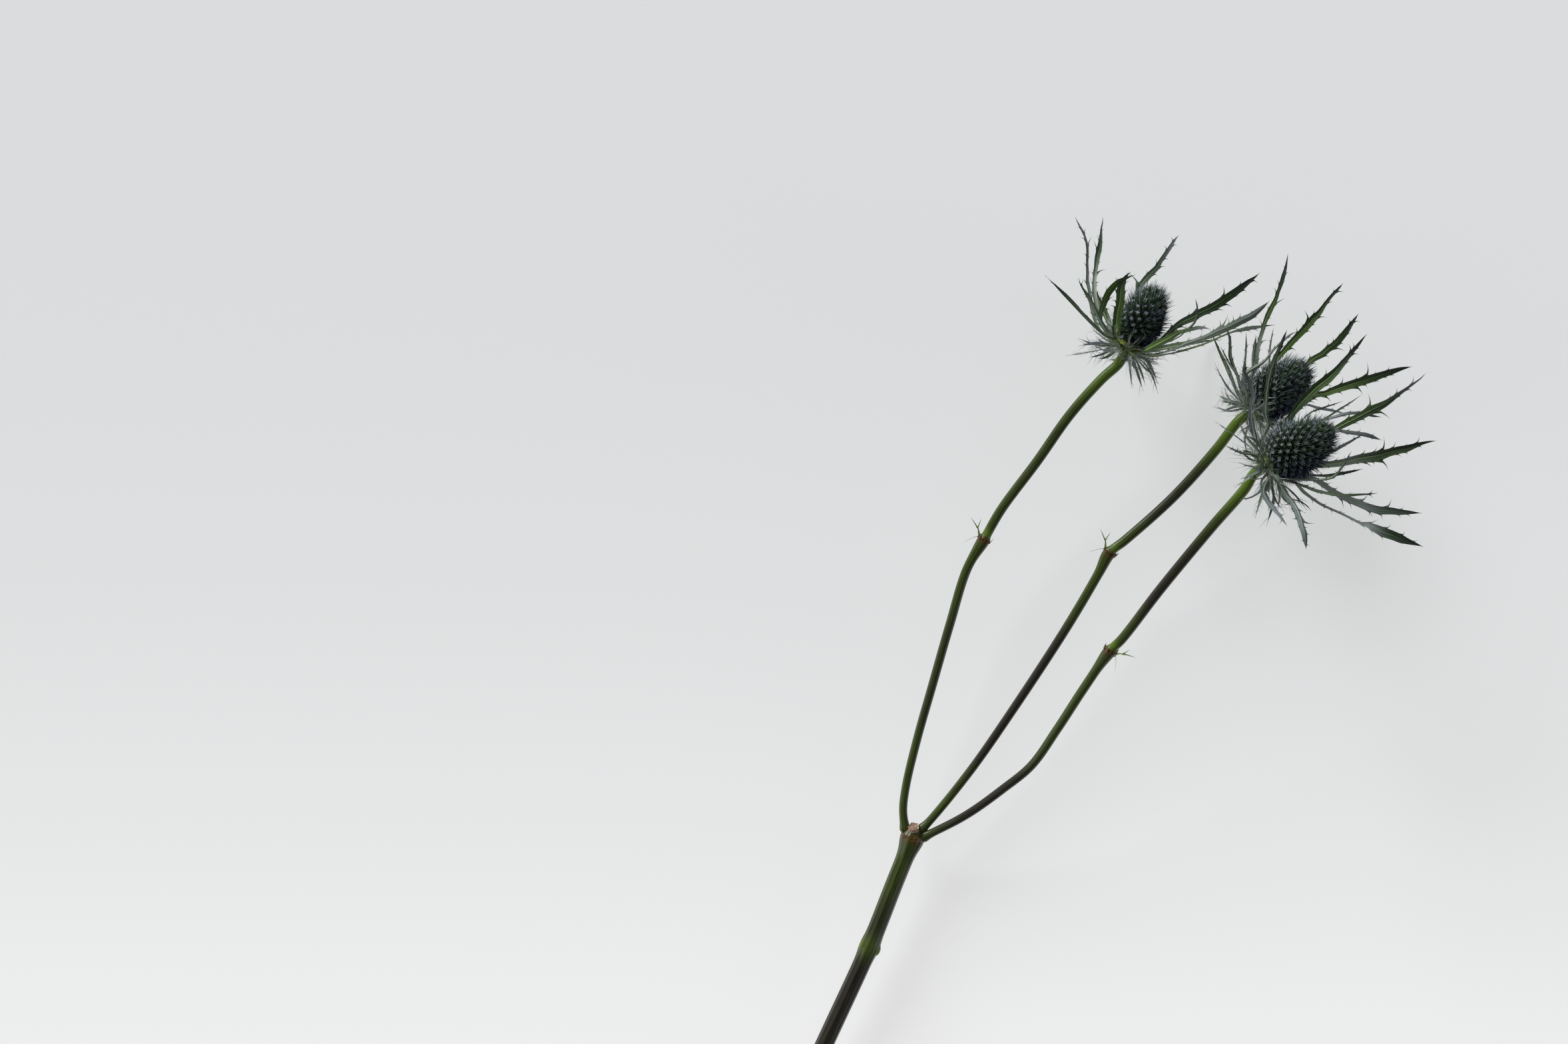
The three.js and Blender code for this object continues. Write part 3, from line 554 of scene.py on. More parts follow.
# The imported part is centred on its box. Its cut end's lowest corner says by how much.
SHIFT = np.array(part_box("stem")[0]) * 1000 - cut_ring().min(axis=0)


def plant_to_world(points):
    return (points + SHIFT) / 1000


def head_to_plant(head, points):
    return np.asarray(points) @ head_axes(head).T + np.array(head["base"], float)


def seen(points):
    """The image's pixels where points of the plant show."""
    scale = FOCAL / (CAMERA_HEIGHT - points[..., 2])
    right = IMAGE[0] / 2 + scale * (points[..., 0] - CAMERA_FROM_FORK[0])
    down = IMAGE[1] / 2 - scale * (points[..., 1] - CAMERA_FROM_FORK[1])
    return np.stack([right, down], axis=-1)


def spot(pixels, height):
    """The points of the plant at the given heights that show at the given pixels."""
    scale = (CAMERA_HEIGHT - height) / FOCAL
    right = CAMERA_FROM_FORK[0] + scale * (pixels[..., 0] - IMAGE[0] / 2)
    ahead = CAMERA_FROM_FORK[1] - scale * (pixels[..., 1] - IMAGE[1] / 2)
    return np.stack(np.broadcast_arrays(right, ahead, height), axis=-1)


def lifted(points, bend):
    """Keeps points above the floor: from the bend's height down they are lifted, the more the deeper."""
    over = points[..., 2] + SHIFT[2]
    height = np.where(over < bend, bend * np.exp(np.minimum(over / bend - 1, 0)), over)
    return np.concatenate([points[..., :2], (height - SHIFT[2])[..., None]], axis=-1)


# ---- Stems ----

STEM_VALUES = ("along", "around", "crest", "purple", "brown", "pale", "cut")
# How finely each stem is meshed, along it and round it, and the number and depth of its ribs.
MAIN_SKIN = {"spacing": 1.0, "sides": 72, "ribs": 10, "rib_depth": 0.055}
STUB_SKIN = {"spacing": 0.25, "sides": 40, "ribs": 9, "rib_depth": 0.12}
FORK_SKIN = {"spacing": 0.8, "sides": 48, "ribs": 8, "rib_depth": 0.035}
RIB_DRIFT = (0.5, 37.0)       # the ribs wind to and fro by this angle, over waves of this length
FRESH_DEPTH = 0.2             # the cut end is pale pith this far in

# Swellings: how much thicker the stem is at their middle, and how far they reach.
SCAR_SWELL = (0.45, 3.5)
CROWN_SWELL = {"thickness": 1.25, "below": 4.6, "above": 2.6, "lower_by": 0.6}
ROOT_SWELL = (0.75, 3.2)
NODE_FLARE = (0.62, 11)
NODE_LIP = (0.74, 0.9)
ROOT_ROUNDING = 2.2           # a fork's root closes over this length
BUDS = [(1, 0.7), (-1, 1.25)]     # side and thickness of the buds at the main stem's scar
BUD_SIZE = {"length": 5.0, "width": 1.5, "out": 3.0}
BUD_SIDES = 12                # and its rings too

# Rings on the main stem's cut end, from its middle out: shares of its radius, and depths into the stem.
CUT_FACE = [
    (0.02, 0.35), (0.15, 0.32), (0.3, 0.2), (0.45, 0.16), (0.6, 0.14), (0.74, 0.06), (0.86, 0.1),
    (0.95, 0.02),
]
# The stub's radius falls from the first to the second. Its torn end has rings of (radius, height).
STUB_RADII = (2.7, 1.9)
STUB_END = [
    (1.75, -0.6), (1.9, 0.1), (1.72, 0.36), (1.35, 0.12), (1.1, -0.1), (0.8, 0.18), (0.4, -0.05),
    (0.05, -0.12),
]
# Each fork's purple stretch, by distance from the fork, and its depth below and above the fork's node.
PURPLE = {
    "left": {"start": 30, "end": 95, "lower": 0.5, "upper": 0.3},
    "middle": {"start": 22, "end": 100, "lower": 1.0, "upper": 0.75},
    "right": {"start": 4, "end": 62, "lower": 0.95, "upper": 0.9},
}
NODE_SCALES = 9
SCALE_SECTION = np.array([(1, 0), (0, 0.16), (-1, 0), (0, -0.16)])
LEAF_SIDE = {"left": 1, "middle": 1, "right": -1}


def stem_tube(skin, curve, look, radius_at, face=(), **values_at):
    """A ribbed stem along a curve. radius_at and values_at take distances along it.

    face is for a cut start: rings on it, from its middle out, as shares of the radius and depths.
    """
    distances = np.linspace(0, curve.length, int(curve.length / look["spacing"]))
    points, tangents = curve.at(distances)
    angle = turns(look["sides"]) - np.pi / 2
    drift = RIB_DRIFT[0] * np.sin(distances / RIB_DRIFT[1])[:, None]
    crest = np.abs(np.cos(0.5 * (look["ribs"] * angle + drift)))
    radius = radius_at(distances)[:, None] * (1 - look["rib_depth"] * (1 - crest))
    rings = points[:, None] + radius[..., None] * circle(angle, *across_and_over(tangents))
    shares, depths = np.array(face, float).reshape(-1, 2).T[..., None]
    inner = points[0] + shares[..., None] * (rings[0] - points[0]) + depths[..., None] * tangents[0]
    rings = np.concatenate([inner, rings])
    crest = np.concatenate([np.repeat(shares, look["sides"], axis=1), crest])
    along = np.concatenate([0 * shares[:, 0], distances])
    values = {name: read(along)[:, None] for name, read in values_at.items()}
    skin.tube(rings, along=along[:, None], around=angle, crest=crest, **values)


def main_stem(skin):
    curve = Curve(MAIN_PATH)
    scar, fork = curve.near(SCAR_POINT), curve.near(FORK_POINT)

    def radius_at(d):
        reach = np.where(d < fork, CROWN_SWELL["below"], CROWN_SWELL["above"])
        radius = (between(CUT_RADIUS, MAIN_RADIUS, d / curve.length)
                  + SCAR_SWELL[0] * hump(d, scar, SCAR_SWELL[1])
                  + CROWN_SWELL["thickness"] * hump(d, fork - CROWN_SWELL["lower_by"], reach))
        closing = np.clip((d - fork) / (curve.length - fork), 0, 1)
        return radius * np.sqrt(np.maximum(1 - 0.8 * closing ** 2, 0.05))

    def purple_at(d):
        return between(0.5, 1.0, smooth((d - 20) / 120)) * (1 - 0.75 * smooth((d - fork + 55) / 45))

    stem_tube(
        skin, curve, MAIN_SKIN, radius_at, CUT_FACE, purple=purple_at,
        brown=lambda d: hump(d, fork - 0.8, 1.5) + 0.25 * hump(d, scar, 2),
        pale=lambda d: 0.5 * hump(d, scar, 4) + (d < FRESH_DEPTH),
        cut=lambda d: (d < FRESH_DEPTH).astype(float))
    point, tangent = curve.at(scar)
    for hand, thickness in BUDS:
        bud(skin, point, tangent, across_and_over(tangent)[0] * hand, thickness)


def bud(skin, point, tangent, outward, thickness):
    """A smooth pale bud scale, pressed to a stem."""
    shares = np.linspace(0, 1, BUD_SIDES)
    swell = np.sin(np.pi * shares ** 0.8) ** 0.7
    along = BUD_SIZE["length"] * shares
    middle = point + outward * BUD_SIZE["out"] + tangent * (along - BUD_SIZE["length"] / 2)[:, None]
    across = np.cross(tangent, outward) * BUD_SIZE["width"]
    angle = turns(BUD_SIDES)
    rings = middle[:, None] + swell[:, None, None] * circle(angle, across, outward * thickness)
    skin.tube(rings, along=along[:, None], around=angle, crest=0.5, pale=1.3)


def cut_stub(skin):
    """The pithy stub of the main stem's own tip, with a hollow in its torn end."""
    curve = Curve(STUB_PATH)
    stem_tube(skin, curve, STUB_SKIN, lambda d: between(*STUB_RADII, smooth(d / curve.length)),
              brown=lambda d: 0.7 + 0 * d, cut=lambda d: smooth(d / 1.5 - 1))
    point, tangent = curve.at(curve.length)
    angle = turns(STUB_SKIN["sides"])
    rough = 1 + 0.09 * np.sin(5 * angle + 1) + 0.06 * np.sin(11 * angle)
    radius, height = np.array(STUB_END).T[..., None, None]
    rings = point + tangent * height + radius * rough[:, None] * circle(angle, *across_and_over(tangent))
    skin.tube(rings, cut=1.0, crest=0.5, along=0.3 * np.arange(len(rings))[:, None], around=angle)


def fork_curve(head):
    axis = head_axes(head)[:, 2]
    end = np.array(head["base"]) - axis * (COLLAR["below"] + GAP)
    return Curve(head["path"] + [tuple(end - axis * STRAIGHT_END), tuple(end)])


def fork_stem(skin, head):
    curve = fork_curve(head)
    node = curve.near(head["node"])
    purple = PURPLE[head["name"]]

    def radius_at(d):
        radius = between(*FORK_RADII, d / curve.length) + ROOT_SWELL[0] * hump(d, 0, ROOT_SWELL[1])
        flare = NODE_FLARE[0] * smooth((d - node) / NODE_FLARE[1] + 1) ** 1.4
        lip = NODE_LIP[0] * hump(d, node, NODE_LIP[1])
        closing = np.clip(1 - d / ROOT_ROUNDING, 0, 1)
        return (radius + np.where(d <= node, flare, lip)) * np.sqrt(np.maximum(1 - closing ** 2, 0.05))

    def purple_at(d):
        lower = smooth((d - purple["start"] + 12) / 34) * (1 - smooth((d - purple["end"] + 30) / 44))
        beyond = (d - node) / (curve.length - node)
        upper = smooth((d - node - 4) / 24) * (1 - smooth((beyond - 0.4) / 0.5))
        return purple["lower"] * lower + purple["upper"] * upper

    stem_tube(
        skin, curve, FORK_SKIN, radius_at, purple=purple_at,
        brown=lambda d: hump(d, node - 0.2, 1.2) + 0.7 * hump(d, 0, 2),
        pale=lambda d: 0.9 * hump(d, node + 2.2, 1.8) + 0.8 * smooth((d - curve.length + 30) / 26))
    point, tangent = curve.at(node)
    node_scales(skin, point, tangent, sum(map(ord, head["name"])))
    node_leaf(skin, point, tangent, LEAF_SIDE[head["name"]])


def node_scales(skin, point, tangent, seed):
    """Torn brown scales round a fork's node."""
    numbers = np.arange(NODE_SCALES)
    angles = 2 * np.pi * (numbers + 0.5 * draw(numbers, seed)) / NODE_SCALES
    shares = np.linspace(0, 1, 5)
    wide, thick = 0.78 - 0.75 * shares ** 1.5, 1 - 0.8 * shares
    for out, length in zip(circle(angles, *across_and_over(tangent)), pick(1.0, 2.6, numbers, seed + 1)):
        root = point + out * 2.4 - tangent * 0.6
        middle = root + tangent * (length * shares)[:, None] + out * (0.5 * shares)[:, None]
        rings = leaf_rings(middle, SCALE_SECTION, np.cross(out, tangent), wide, -out, thick)
        skin.tube(rings, brown=1.2, crest=0.5, along=shares[:, None] * length, around=0.0)


def node_leaf(skin, point, tangent, hand):
    """The tiny forked leaf that is left at a fork's node."""
    side, over = across_and_over(tangent)
    out = side * hand
    root = point + out * 2.0 + over * 0.6 + tangent * 0.3
    stalk = unit(out * 0.75 + tangent * 0.8 + over * 0.3)
    spines = [                # the start, aim, length, radius and bend of each
        (root, stalk, 3.6, 0.55, tangent * 0.3),
        (root + stalk * 3.0, stalk + out * 0.5, 4.2, 0.32, out * 0.6),
        (root + stalk * 3.0, stalk - out * 0.5 + over * 0.3, 3.8, 0.3, tangent * 0.8),
        (root + stalk * 2.2, stalk + over * 0.8, 2.6, 0.2, over * 0.5),
        (root + out * 0.2, out - tangent * 0.9, 5.5, 0.1, tangent * -2.0),
    ]
    needles(skin, *(np.array(column) for column in zip(*spines)), pale=1.2, crest=0.5)


def stem_object(material):
    skin = Skin(STEM_VALUES)
    main_stem(skin)
    cut_stub(skin)
    for head in HEADS:
        fork_stem(skin, head)
    return skin.make("stem_ribbed", material, "stem", plant_to_world)


# ---- Bracts ----

BRACT_VALUES = ("across", "share", "side", "tint", "bright", "silver", "blue")
USUAL_LOOK = {"silver": (0.2, 0.0), "bright": (0.2, 0.0)}
USUAL_BLUE = 0.3
PATH_STEPS = 160
PATH_SHARES = np.linspace(0, 1, PATH_STEPS)
BLADE_STATIONS = 44
TIP_CROWDING = 0.92           # below 1, a blade's stations crowd towards its tip

# A blade's section, from one margin over the upper side to the other and back below.
SECTION = np.array([1, 0.8, 0.55, 0.2, 0, -0.2, -0.55, -0.8, -1, -0.8, -0.55, -0.2, 0, 0.2, 0.55, 0.8])
SECTION_SIDE = np.array([0.0] + [1.0] * 7 + [0.0] + [-1.0] * 7)
BLADE_THICKNESS = 0.42
KEEL = (0.24, 0.3)            # the midrib's height below a blade, and its width as a share of the blade's
RIDGE = (0.1, 0.2)            # the same above the blade
FOLD = 0.42                   # how far the margins rise, as a share of the half width

OUTLINE = {"foot": 0.36, "widest": 0.58, "power": 1.3}     # of a blade with no line
LEAST_HALF = 0.03
HIDDEN_FOOT = 0.15            # the share of a blade that its head hides, where the blade has no line
LONGEST_HIDDEN_FOOT = 0.45    # and the most that it may hide of one with a line
SWAY = 1.2
SIDE_TILT = 12                # of a blade's wavy turning about its middle, in degrees
LINE_TILT = 36                # the range of its lean where it has a line
LEAD = np.array([0.0, 0.3, 0.6])  # shares of a line's hidden foot, and widths there
LEAD_WIDTHS = np.array([0.6, 0.75, 0.9])

SHOULDER = 0.26               # the part of a tooth that the blade's own margin makes, below its spine
TOOTH_FLANKS = (3.6, 0.9)     # before and after a shoulder, as shares of its height
TOOTH_STEPS = np.array([-3.6, -2.5, -1.7, -1.1, -0.6, -0.25, 0, 0.12, 0.3, 0.55, 0.9])
LARGE_TOOTH = 2.2             # teeth that reach further get all of these steps
SMALL_TOOTH_SPACING = 6
CLEAR_OF_TEETH = 2.5
PLAIN_LEAN = 0.4              # how far teeth with no pixels lean forward, as a share of their reach
TIP_SPINE = (1.1, 0.09)       # length and radius of the spine on a blade's own tip

FRINGE_COUNT = 40
FRINGE_STATIONS = 18
# Each kind of bristle: how many, the first stream of their draws, and the ranges of length and radius.
BRISTLES = [(320, 90, (4, 15), (0.07, 0.14)), (60, 190, (4, 10), (0.13, 0.2))]
COLLAR_SIDES = 36


class Way:
    """A blade's middle at shares of its length, with the ways along, across and out, and half widths."""

    def __init__(self, shares, length, points, tangents, across, normal, half):
        self.shares, self.length, self.points, self.half = shares, length, points, half
        self.tangents, self.across, self.normal = tangents, across, normal

    def at(self, shares):
        """The same way at other shares."""
        directions = (unit(rows_at(shares, self.shares, rows))
                      for rows in (self.tangents, self.across, self.normal))
        return Way(shares, self.length, rows_at(shares, self.shares, self.points), *directions,
                   np.interp(shares, self.shares, self.half))


def midrib(bract, root_height, shares):
    """Points of the bract's midrib: out of the collar sideways, up round the cone, and on to the tip."""
    turn, spread, length = bract["turn"], bract["spread"], bract["length"]
    root = polar(turn, 90, MIDRIB["root_reach"]) + UP * root_height
    tip = polar(turn, spread, length)
    foot = root + polar(turn, max(MIDRIB["foot_spread"], spread), MIDRIB["foot_share"] * length)
    bulge = max(MIDRIB["bulge_share"] * length * math.cos(math.radians(spread)), 0)
    knee = root + (tip - root) * MIDRIB["knee_share"] + polar(turn, 90, bulge)
    t = shares[:, None]
    return (1 - t) ** 3 * root + 3 * (1 - t) ** 2 * t * foot + 3 * (1 - t) * t * t * knee + t ** 3 * tip


def outline(shares):
    """Half width along a blade with no line: narrow at its foot, widest past the middle, then a point."""
    widest, power = OUTLINE["widest"], OUTLINE["power"]
    growth = np.sin(np.pi / 2 * np.clip(shares / widest, 0, 1))
    towards_tip = np.clip((shares - widest) / (1 - widest), 0, 1)
    return between(OUTLINE["foot"], 1, growth ** power) * np.cos(np.pi / 2 * towards_tip) ** power


def plain_path(head, bract, root_height, seed):
    """A blade's middle and half widths where it has no line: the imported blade's, with a slight sway.

    The last number is the share of it that the head hides, as it is for line_path.
    """
    local = midrib(bract, root_height, PATH_SHARES)
    sway = 2 * bract.get("sway", SWAY) * np.sin(np.pi * PATH_SHARES) * PATH_SHARES
    local = local + np.outer(sway * (draw(seed, 7) - 0.5), polar(bract["turn"] + 90, 90))
    local = local + np.outer(sway * (draw(seed, 8) - 0.5), UP)
    knots = head_to_plant(head, np.vstack([local[:-6:12], local[-1:]]))
    curve = Curve(lifted(knots, BEND_HEIGHT))
    points, tangents = curve.at(curve.length * PATH_SHARES)
    return points, tangents, bract["width"] / 2 * outline(PATH_SHARES) + LEAST_HALF, HIDDEN_FOOT


def line_path(head, bract, root_height):
    """A blade's middle and half widths from its line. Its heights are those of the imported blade."""
    packed = lifted(head_to_plant(head, midrib(bract, root_height, PATH_SHARES)), BEND_HEIGHT)
    line = np.array(bract["line"], float)
    nearest = np.argmin(np.linalg.norm(seen(packed) - line[0, :2], axis=1))
    first = min(PATH_SHARES[nearest], LONGEST_HIDDEN_FOOT)
    hidden = rows_at(LEAD * first, PATH_SHARES, seen(packed))
    aside = line[0, :2] - rows_at(first, PATH_SHARES, seen(packed))
    hidden = hidden + np.outer(LEAD ** 2, aside)
    way = np.concatenate([[0], np.cumsum(np.linalg.norm(np.diff(line[:, :2], axis=0), axis=1))])
    shares = np.concatenate([LEAD * first, first + (1 - first) * way / way[-1]])
    heights = np.interp(shares, PATH_SHARES, packed[:, 2])
    curve = Curve(spot(np.vstack([hidden, line[:, :2]]), heights))
    points, tangents = curve.at(curve.length * PATH_SHARES)
    marks = curve.distances[::SPAN_SAMPLES] / curve.length
    widths = np.concatenate([line[0, 2] * LEAD_WIDTHS, line[:, 2]])
    scale = (CAMERA_HEIGHT - points[:, 2]) / FOCAL
    return points, tangents, 0.5 * scale * np.interp(PATH_SHARES, marks, widths), first


def blade_way(head, bract, points, tangents, half, seed):
    """The way of a blade, with the directions across it and out of its upper side."""
    level = head_axes(head) @ polar(bract["turn"] + 90, 90)
    normal = unit(np.cross(tangents, np.broadcast_to(level, tangents.shape)))
    tilt = SIDE_TILT * np.sin(7 * PATH_SHARES + 6 * draw(seed, 9)) * smooth(PATH_SHARES * 3)
    if "line" in bract:
        face = bract.get("face", 1 if abs(bract["turn"]) > 90 else -1)
        share = smooth(PATH_SHARES / 0.4)
        normal = unit(normal * (1 - share[:, None]) + share[:, None] * UP * face)
        tilt = tilt + LINE_TILT * (draw(seed, 12) - 0.5) * share
    else:
        tilt = tilt + between(*bract.get("twist", (0, 0)), smooth(PATH_SHARES / 0.6))
    across = unit(np.cross(normal, tangents))
    across, normal = turned(across, np.cross(tangents, across), np.radians(tilt)[:, None])
    if "line" in bract:
        half = half / np.clip(np.linalg.norm(across[:, :2], axis=1), 0.7, 1)
    length = np.linalg.norm(np.diff(points, axis=0), axis=1).sum()
    return Way(PATH_SHARES, length, points, tangents, across, normal, half)


def tooth_from_line(tooth, way):
    """Where a tooth that is given in pixels stands on a blade: its place, side, reach and lean."""
    foot, tip = np.array(tooth[:2], float), np.array(tooth[2:], float)
    row = int(np.argmin(np.linalg.norm(seen(way.points) - foot, axis=1)))
    offset = (spot(tip, way.points[row, 2]) - way.points[row])[:2]
    level_ways = np.stack([way.across[row, :2], way.tangents[row, :2]], axis=1)
    sideways, along = np.linalg.solve(level_ways, offset)
    reach = max(abs(sideways) - way.half[row], 0.3)
    return way.shares[row], np.sign(sideways), reach, float(np.clip(along / reach, -1, 2))


def small_teeth(teeth, way, seed):
    """Little spines between the large teeth, on both margins."""
    small = []
    count = max(int(way.length / SMALL_TOOTH_SPACING), 2)
    size = min(1, 0.4 + 2 * way.half.max() / 5)
    for side in (1, -1):
        for i in range(count):
            number = seed * 31 + i * 2 + (side > 0)
            place = between(0.25, 0.95, (i + draw(number, 3)) / count)
            gaps = [abs(place - tooth[0]) * way.length for tooth in teeth if tooth[1] == side]
            if min(gaps, default=math.inf) > CLEAR_OF_TEETH:
                small.append((place, side, pick(0.8, 2.1, number, 5) * size, pick(0.2, 1.1, number, 6)))
    return small


def tooth_height(offset):
    """A shoulder's height at an offset from its top, in shares of it. Both flanks are hollow."""
    before = np.clip(1 + offset / TOOTH_FLANKS[0], 0, 1) ** 3.5
    after = np.clip(1 - offset / TOOTH_FLANKS[1], 0, 1) ** 2
    return np.where(offset < 0, before, after)


def blade_shares(teeth, stations, length):
    """Where a blade's section is set: evenly, and closer at each tooth."""
    shares = np.linspace(0, 1, stations) ** TIP_CROWDING
    for place, _, reach, _ in teeth:
        steps = TOOTH_STEPS if reach > LARGE_TOOTH else TOOTH_STEPS[1::3]
        shares = np.append(shares, place + steps * reach * SHOULDER / length)
    return np.unique(np.round(np.clip(shares, 0, 1), 4))


def blade_rings(way, teeth):
    """A blade's section all along it: folded up, with a midrib, and drawn out to its teeth's shoulders."""
    u, hand = SECTION, SECTION_SIDE
    edge = np.clip((np.abs(u) - 0.5) / 0.5, 0, 1) ** 2
    reach = lean = np.zeros((len(way.shares), len(u)))
    for place, side, size, _ in teeth:
        shoulder = size * SHOULDER
        lift = shoulder * tooth_height((way.shares - place) * way.length / shoulder)
        lift = lift[:, None] * edge * (np.sign(u) == side)
        lean = np.where(lift > reach, lift ** 2 / shoulder, lean)
        reach = np.maximum(reach, lift)
    half = way.half[:, None]
    midrib_height = RIDGE[0] * fade(u, RIDGE[1]) * (hand > 0) - KEEL[0] * fade(u, KEEL[1]) * (hand < 0)
    slim = np.clip((1 - way.shares) * 8, 0.15, 1) * np.clip(way.half / 1.2, 0.35, 1)
    depth = slim[:, None] * (0.5 * BLADE_THICKNESS * hand * (1 - u ** 2) + midrib_height)
    fold = FOLD * np.abs(u) ** 1.4 * half
    out = np.sign(u) * reach + u * half
    return (way.points[:, None] + out[..., None] * way.across[:, None]
            + (fold + depth)[..., None] * way.normal[:, None] + lean[..., None] * way.tangents[:, None])


def blade_looks(bract, out_shares):
    """The silver and the fresh green along a blade, by the shares of its visible part."""
    looks = {}
    for name, usual in USUAL_LOOK.items():
        steps = bract.get(name, usual)
        looks[name] = np.interp(np.clip(out_shares, 0, 1), np.linspace(0, 1, len(steps)), steps)
    return looks


def blade(skin, head, bract, seed, root_height=LARGE_ROOT_HEIGHT, stations=BLADE_STATIONS, small=True):
    """One bract, with its teeth drawn out of its margins and a hair-fine spine on each."""
    traced = "line" in bract
    path = line_path(head, bract, root_height) if traced else plain_path(head, bract, root_height, seed)
    *middle_and_width, first = path
    way = blade_way(head, bract, *middle_and_width, seed)
    teeth = [tooth_from_line(tooth, way) if traced else (*tooth, PLAIN_LEAN)
             for tooth in bract.get("teeth", [])]
    if small:
        teeth = teeth + small_teeth(teeth, way, seed)

    way = way.at(blade_shares(teeth, stations, way.length))
    rings = blade_rings(way, teeth)
    looks = blade_looks(bract, (way.shares - first) / (1 - first))
    tint = draw(seed, 10)
    skin.tube(rings, across=SECTION, share=way.shares[:, None], side=SECTION_SIDE, tint=tint,
              blue=bract.get("blue", USUAL_BLUE), **{name: look[:, None] for name, look in looks.items()})
    blade_spines(skin, way, teeth, rings[-1, 4], looks, tint)
    return way


def blade_spines(skin, way, teeth, end, looks, tint):
    """A spine on the blade's end, and one on each tooth that curves out to the tooth's tip."""
    spines = [(end, way.tangents[-1], end + way.tangents[-1] * TIP_SPINE[0], TIP_SPINE[1])]
    rows = [-1]
    for place, side, reach, slant in teeth:
        row = np.argmin(np.abs(way.shares - place))
        middle, half, forward = way.points[row], way.half[row], way.tangents[row]
        outward = way.across[row] * side
        root = max(half - 0.35, 0) + 0.05 * reach
        spines.append((
            middle + outward * root + way.normal[row] * FOLD * root,
            unit(outward * 0.8 + forward * (0.65 + 0.3 * slant)),
            middle + outward * (half + reach) + forward * slant * reach,
            min(0.09 + 0.095 * reach, 0.42)))
        rows.append(row)
    starts, aims, tips, radii = (np.array(column) for column in zip(*spines))
    lengths = np.linalg.norm(tips - starts, axis=1)
    shares, silver, bright = way.shares[rows], looks["silver"][rows], looks["bright"][rows]
    needles(
        skin, starts, aims, lengths, radii, tips - starts - aims * lengths[:, None],
        rows=7, sides=4, taper=1.35, side=1, across=0.75, tint=tint,
        share=np.stack([shares, np.minimum(shares + 0.2, 1)], axis=1),
        silver=np.stack([silver, silver + 0.3], axis=1), bright=np.stack([bright, 0 * bright], axis=1))


def fringe_blade(skin, head, number, seed):
    """A short bristly bract of the fringe, with pairs of long thin spines along it."""
    bract = bract_at(
        number * GOLDEN_TURN, pick(66, 128, number, seed), pick(9, 23, number, seed + 1),
        width=pick(0.6, 1.5, number, seed + 2), twist=(0, pick(-90, 90, number, seed + 3)),
        blue=draw(number, seed + 4), silver=(1.0, pick(0.4, 1.3, number, seed + 5)),
        bright=(0.3, 0.0), sway=3.4, teeth=[])
    way = blade(skin, head, bract, seed * 100 + number, FRINGE_ROOT_HEIGHT, FRINGE_STATIONS, small=False)
    rows, sides = [], []
    for i in range(5):
        for side in (1, -1):
            if draw(number * 8 + i * 2 + side, seed + 6) < 0.75:
                rows.append(int(between(4, 16, (i + draw(number * 8 + i, seed + 7)) / 5)))
                sides.append(side)
    if not rows:
        return
    numbers = np.arange(len(rows)) + number * 11
    across, forward = way.across[rows] * np.array(sides)[:, None], way.tangents[rows]
    aims = (across + forward * pick(0.5, 1.4, numbers, seed + 8)[:, None]
            + UP * pick(-0.5, 0.6, numbers, seed + 9)[:, None])
    needles(
        skin, way.points[rows] + across * bract["width"] * 0.3, aims, pick(1.6, 5.0, numbers, seed + 10),
        0.1, forward * 0.8, share=(0.5, 0.8), side=-1, silver=1, blue=0.9,
        tint=draw(numbers, seed + 11)[:, None])


def bristles(skin, head, count, seed, lengths, radii):
    """Silvery bristles under the head, some of them nearly white: partly their own silver, partly a
    painted highlight of the light behind them.
    """
    numbers = np.arange(count)
    turn = 360 * draw(numbers, seed)
    to_plant = head_axes(head).T
    aims = polar(turn, pick(55, 145, numbers, seed + 1)) @ to_plant
    starts = polar(turn, 90, pick(1.5, 4.0, numbers, seed + 2))
    starts = head_to_plant(head, starts + np.outer(pick(-1.4, 0.6, numbers, seed + 3), UP))
    lengths = between(*lengths, draw(numbers, seed + 4) ** 1.5)
    bends = (polar(turn + 90, 90) * pick(-3, 3, numbers, seed + 5)[:, None]
             + np.outer(pick(-1, 4, numbers, seed + 6), UP)) @ to_plant
    tint = draw(numbers, seed + 8)[:, None]
    needles(
        skin, starts, aims, lengths, pick(*radii, numbers, seed + 7), bends, rows=5,
        share=(0.3, 0.66), side=-1, blue=1, silver=between(1.0, 2.2, tint), tint=tint)


def collar(skin, head):
    low, high = -COLLAR["below"], COLLAR["above"]
    profile = [(0.3, low), (COLLAR["low_radius"], low), (3.8, -0.8), (COLLAR["radius"], 0), (4.5, 0.7),
               (COLLAR["high_radius"], high), (0.3, high)]
    skin.tube(head_to_plant(head, lathe(profile, COLLAR_SIDES)),
              share=0.02, side=1.0, tint=0.5, bright=0.8, across=0.5)


def ruff_object(head, number, material):
    skin = Skin(BRACT_VALUES)
    collar(skin, head)
    for i, bract in enumerate(head["bracts"]):
        blade(skin, head, bract, number * 50 + i + 1)
    for i in range(FRINGE_COUNT):
        fringe_blade(skin, head, i, 20 + number * 20)
    for count, seed, lengths, radii in BRISTLES:
        bristles(skin, head, count, seed + number * 10, lengths, radii)

    def place(points):
        return np.clip(plant_to_world(lifted(points, SKIN_BEND_HEIGHT)), *CAD_BOX)

    return skin.make(f"bracts_{head['name']}", material, f"ruff_{head['name']}", place)


# ---- Cones ----

